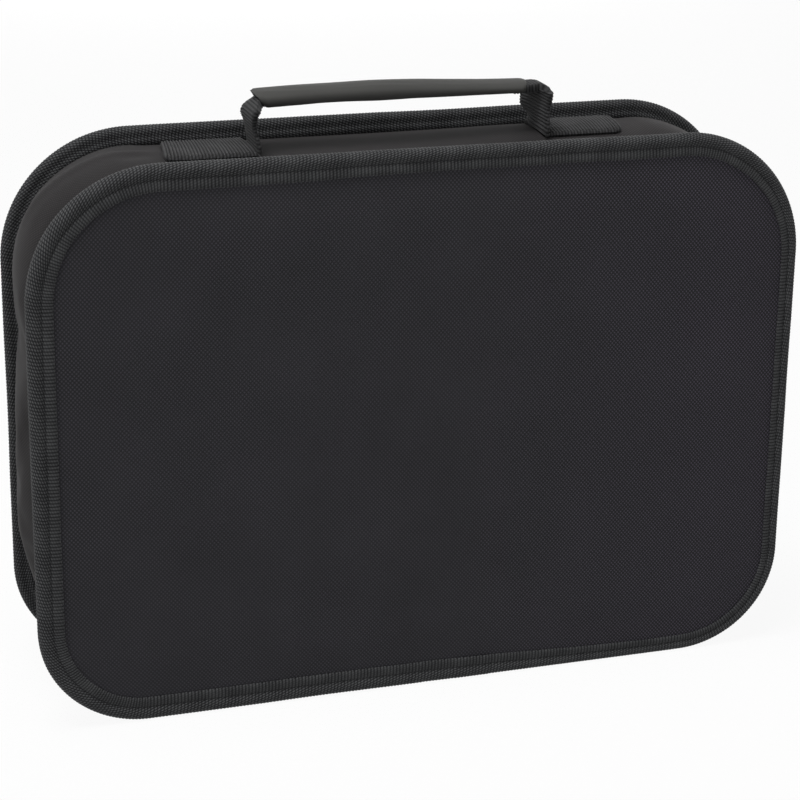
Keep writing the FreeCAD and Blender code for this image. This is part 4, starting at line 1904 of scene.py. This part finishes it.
@dataclass(frozen=True)
class Studio:
    """Pale floor, soft light and the camera of the photograph."""

    azimuth: float = -17.59
    elevation: float = 17.46
    roll: float = 0.74
    distance: float = 1.07
    target: tuple[float, float, float] = (-0.00192, 0.0, 0.17642)
    focal_pixels: float = 2182.0
    frame_pixels: float = 800.0
    shift_y: float = -0.1
    floor_colour: str = "#f4f4f4"
    floor_bounce: str = "#8a8a8a"
    floor_side: float = 12.0
    floor_clear: float = 0.93
    sensor: float = 36.0
    sky: float = 0.05

    # Name, place in metres, side in metres and power in watts of each lamp, and what they all point at
    LAMPS = (
        ("top_lamp", (-0.5, -0.28, 2.35), 1.0, 44), ("left_lamp", (-2.3, -0.9, 0.4), 1.0, 20),
        ("front_lamp", (0.15, -2.3, 0.45), 1.0, 10.5), ("right_lamp", (2.3, -0.5, 0.1), 1.0, 8),
        ("rear_lamp", (0.5, 2.4, 0.12), 1.2, 22),
    )
    AIM = (0, 0, 0.14)

    def camera(self) -> None:
        """Adds the camera and makes it the scene's."""
        azimuth, elevation = math.radians(self.azimuth), math.radians(self.elevation)
        level = math.cos(elevation)
        back = Vector((math.sin(azimuth) * level, -math.cos(azimuth) * level, math.sin(elevation)))
        turn = Matrix.Rotation(math.radians(self.roll), 3, back)
        right = turn @ (-back).cross(Vector((0, 0, 1))).normalized()
        up = right.cross(-back)
        data = bpy.data.cameras.new("camera")
        data.sensor_width = self.sensor
        data.lens = self.focal_pixels / self.frame_pixels * self.sensor
        data.shift_y = self.shift_y
        data.clip_start, data.clip_end = 0.05, 50
        camera = bpy.data.objects.new("camera", data)
        bpy.context.collection.objects.link(camera)
        axes = Matrix((right, up, back)).transposed().to_4x4()
        camera.matrix_world = Matrix.Translation(Vector(self.target) + back * self.distance) @ axes
        bpy.context.scene.camera = camera

    def lamp(self, name: str, place: Sequence[float], size: float, power: float) -> None:
        """Adds one square area lamp.

        Args:
            name: Name of the lamp.
            place: Where it stands.
            size: Length of its side.
            power: Watts.
        """
        data = bpy.data.lights.new(name, "AREA")
        data.shape, data.size, data.energy = "SQUARE", size, power
        lamp = bpy.data.objects.new(name, data)
        bpy.context.collection.objects.link(lamp)
        lamp.location = place
        lamp.rotation_euler = (Vector(self.AIM) - Vector(place)).to_track_quat("-Z", "Y").to_euler()

    def floor(self) -> Piece:
        """Adds the pale flat floor, which lets most of what the camera sees through.

        Returns:
            The floor.
        """
        deselect()
        bpy.ops.mesh.primitive_plane_add(size=self.floor_side, location=(0, 0, 0))
        floor = named("floor")
        material, tree = new_material("matt_white_floor")
        seen = self.background_rays(tree)
        tone = add_node(tree, "Mix", {"data_type": "RGBA"}, {0: seen})
        tone.inputs[6].default_value = linear(self.floor_bounce)
        tone.inputs[7].default_value = linear(self.floor_colour)
        matt = add_node(tree, "BsdfDiffuse", {}, {"Color": tone.outputs[2]}).outputs[0]
        through = add_node(tree, "BsdfTransparent", {"Color": (1, 1, 1, 1)}).outputs[0]
        clear = maths(tree, "MULTIPLY", seen, self.floor_clear)
        mixed = add_node(tree, "MixShader", {}, {0: clear, 1: matt, 2: through}).outputs[0]
        add_node(tree, "OutputMaterial", {}, {"Surface": mixed})
        floor.data.materials.append(material)
        return floor

    def background_rays(self, tree: Tree) -> Socket:
        """Is 1 for what the camera sees, directly, mirrored or through glass, and 0 for other light."""
        path = add_node(tree, "LightPath").outputs
        seen = path["Is Camera Ray"]
        for ray in ("Is Glossy Ray", "Is Transmission Ray"):
            seen = maths(tree, "ADD", seen, path[ray], clamp=True)
        return seen

    def build(self) -> None:
        """Sets up the light, the floor and the camera."""
        scene = bpy.context.scene
        scene.view_settings.view_transform = "Standard"
        world = bpy.data.worlds.new("studio")
        scene.world = world
        world.use_nodes = True
        world.node_tree.nodes.clear()
        tree = world.node_tree
        seen = self.background_rays(tree)
        strength = mapped(tree, seen, 0, 1, self.sky, 1.0)
        light = add_node(tree, "Background", {"Color": (1, 1, 1, 1)}, {"Strength": strength}).outputs[0]
        add_node(tree, "OutputWorld", {}, {"Surface": light})
        self.floor()
        for lamp in self.LAMPS:
            self.lamp(*lamp)
        self.camera()


def main() -> None:
    """Builds the case piece by piece and reports each one."""
    logging.basicConfig(level=logging.INFO, format="%(message)s")
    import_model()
    deselect()
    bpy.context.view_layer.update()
    size = CaseSize.from_frame()
    finishes = Finishes.build()
    wall = Wall(size, finishes)
    pieces: list[Piece] = []
    for side in Side:
        pieces += BoundEdge(size, side, finishes).build()
        pieces.append(PanelSkin(size, side, finishes.panel).build())
        pieces.append(PanelLining(size, side, finishes).build())
    pieces += wall.build()
    pieces += Handle(size, wall, finishes).build()
    for body in ("lid", "base"):
        pieces += ZipHalf(size, body, finishes).build()
    pieces += FabricHinge(size, finishes).build()
    pieces += NetPocket(finishes).build()
    pieces += Straps(finishes).build()
    dress_nodes(finishes)
    for piece in pieces:
        LOG.info("piece %s: %d faces", piece.name, len(piece.data.polygons))
    Studio().build()


if __name__ == "__main__":
    main()
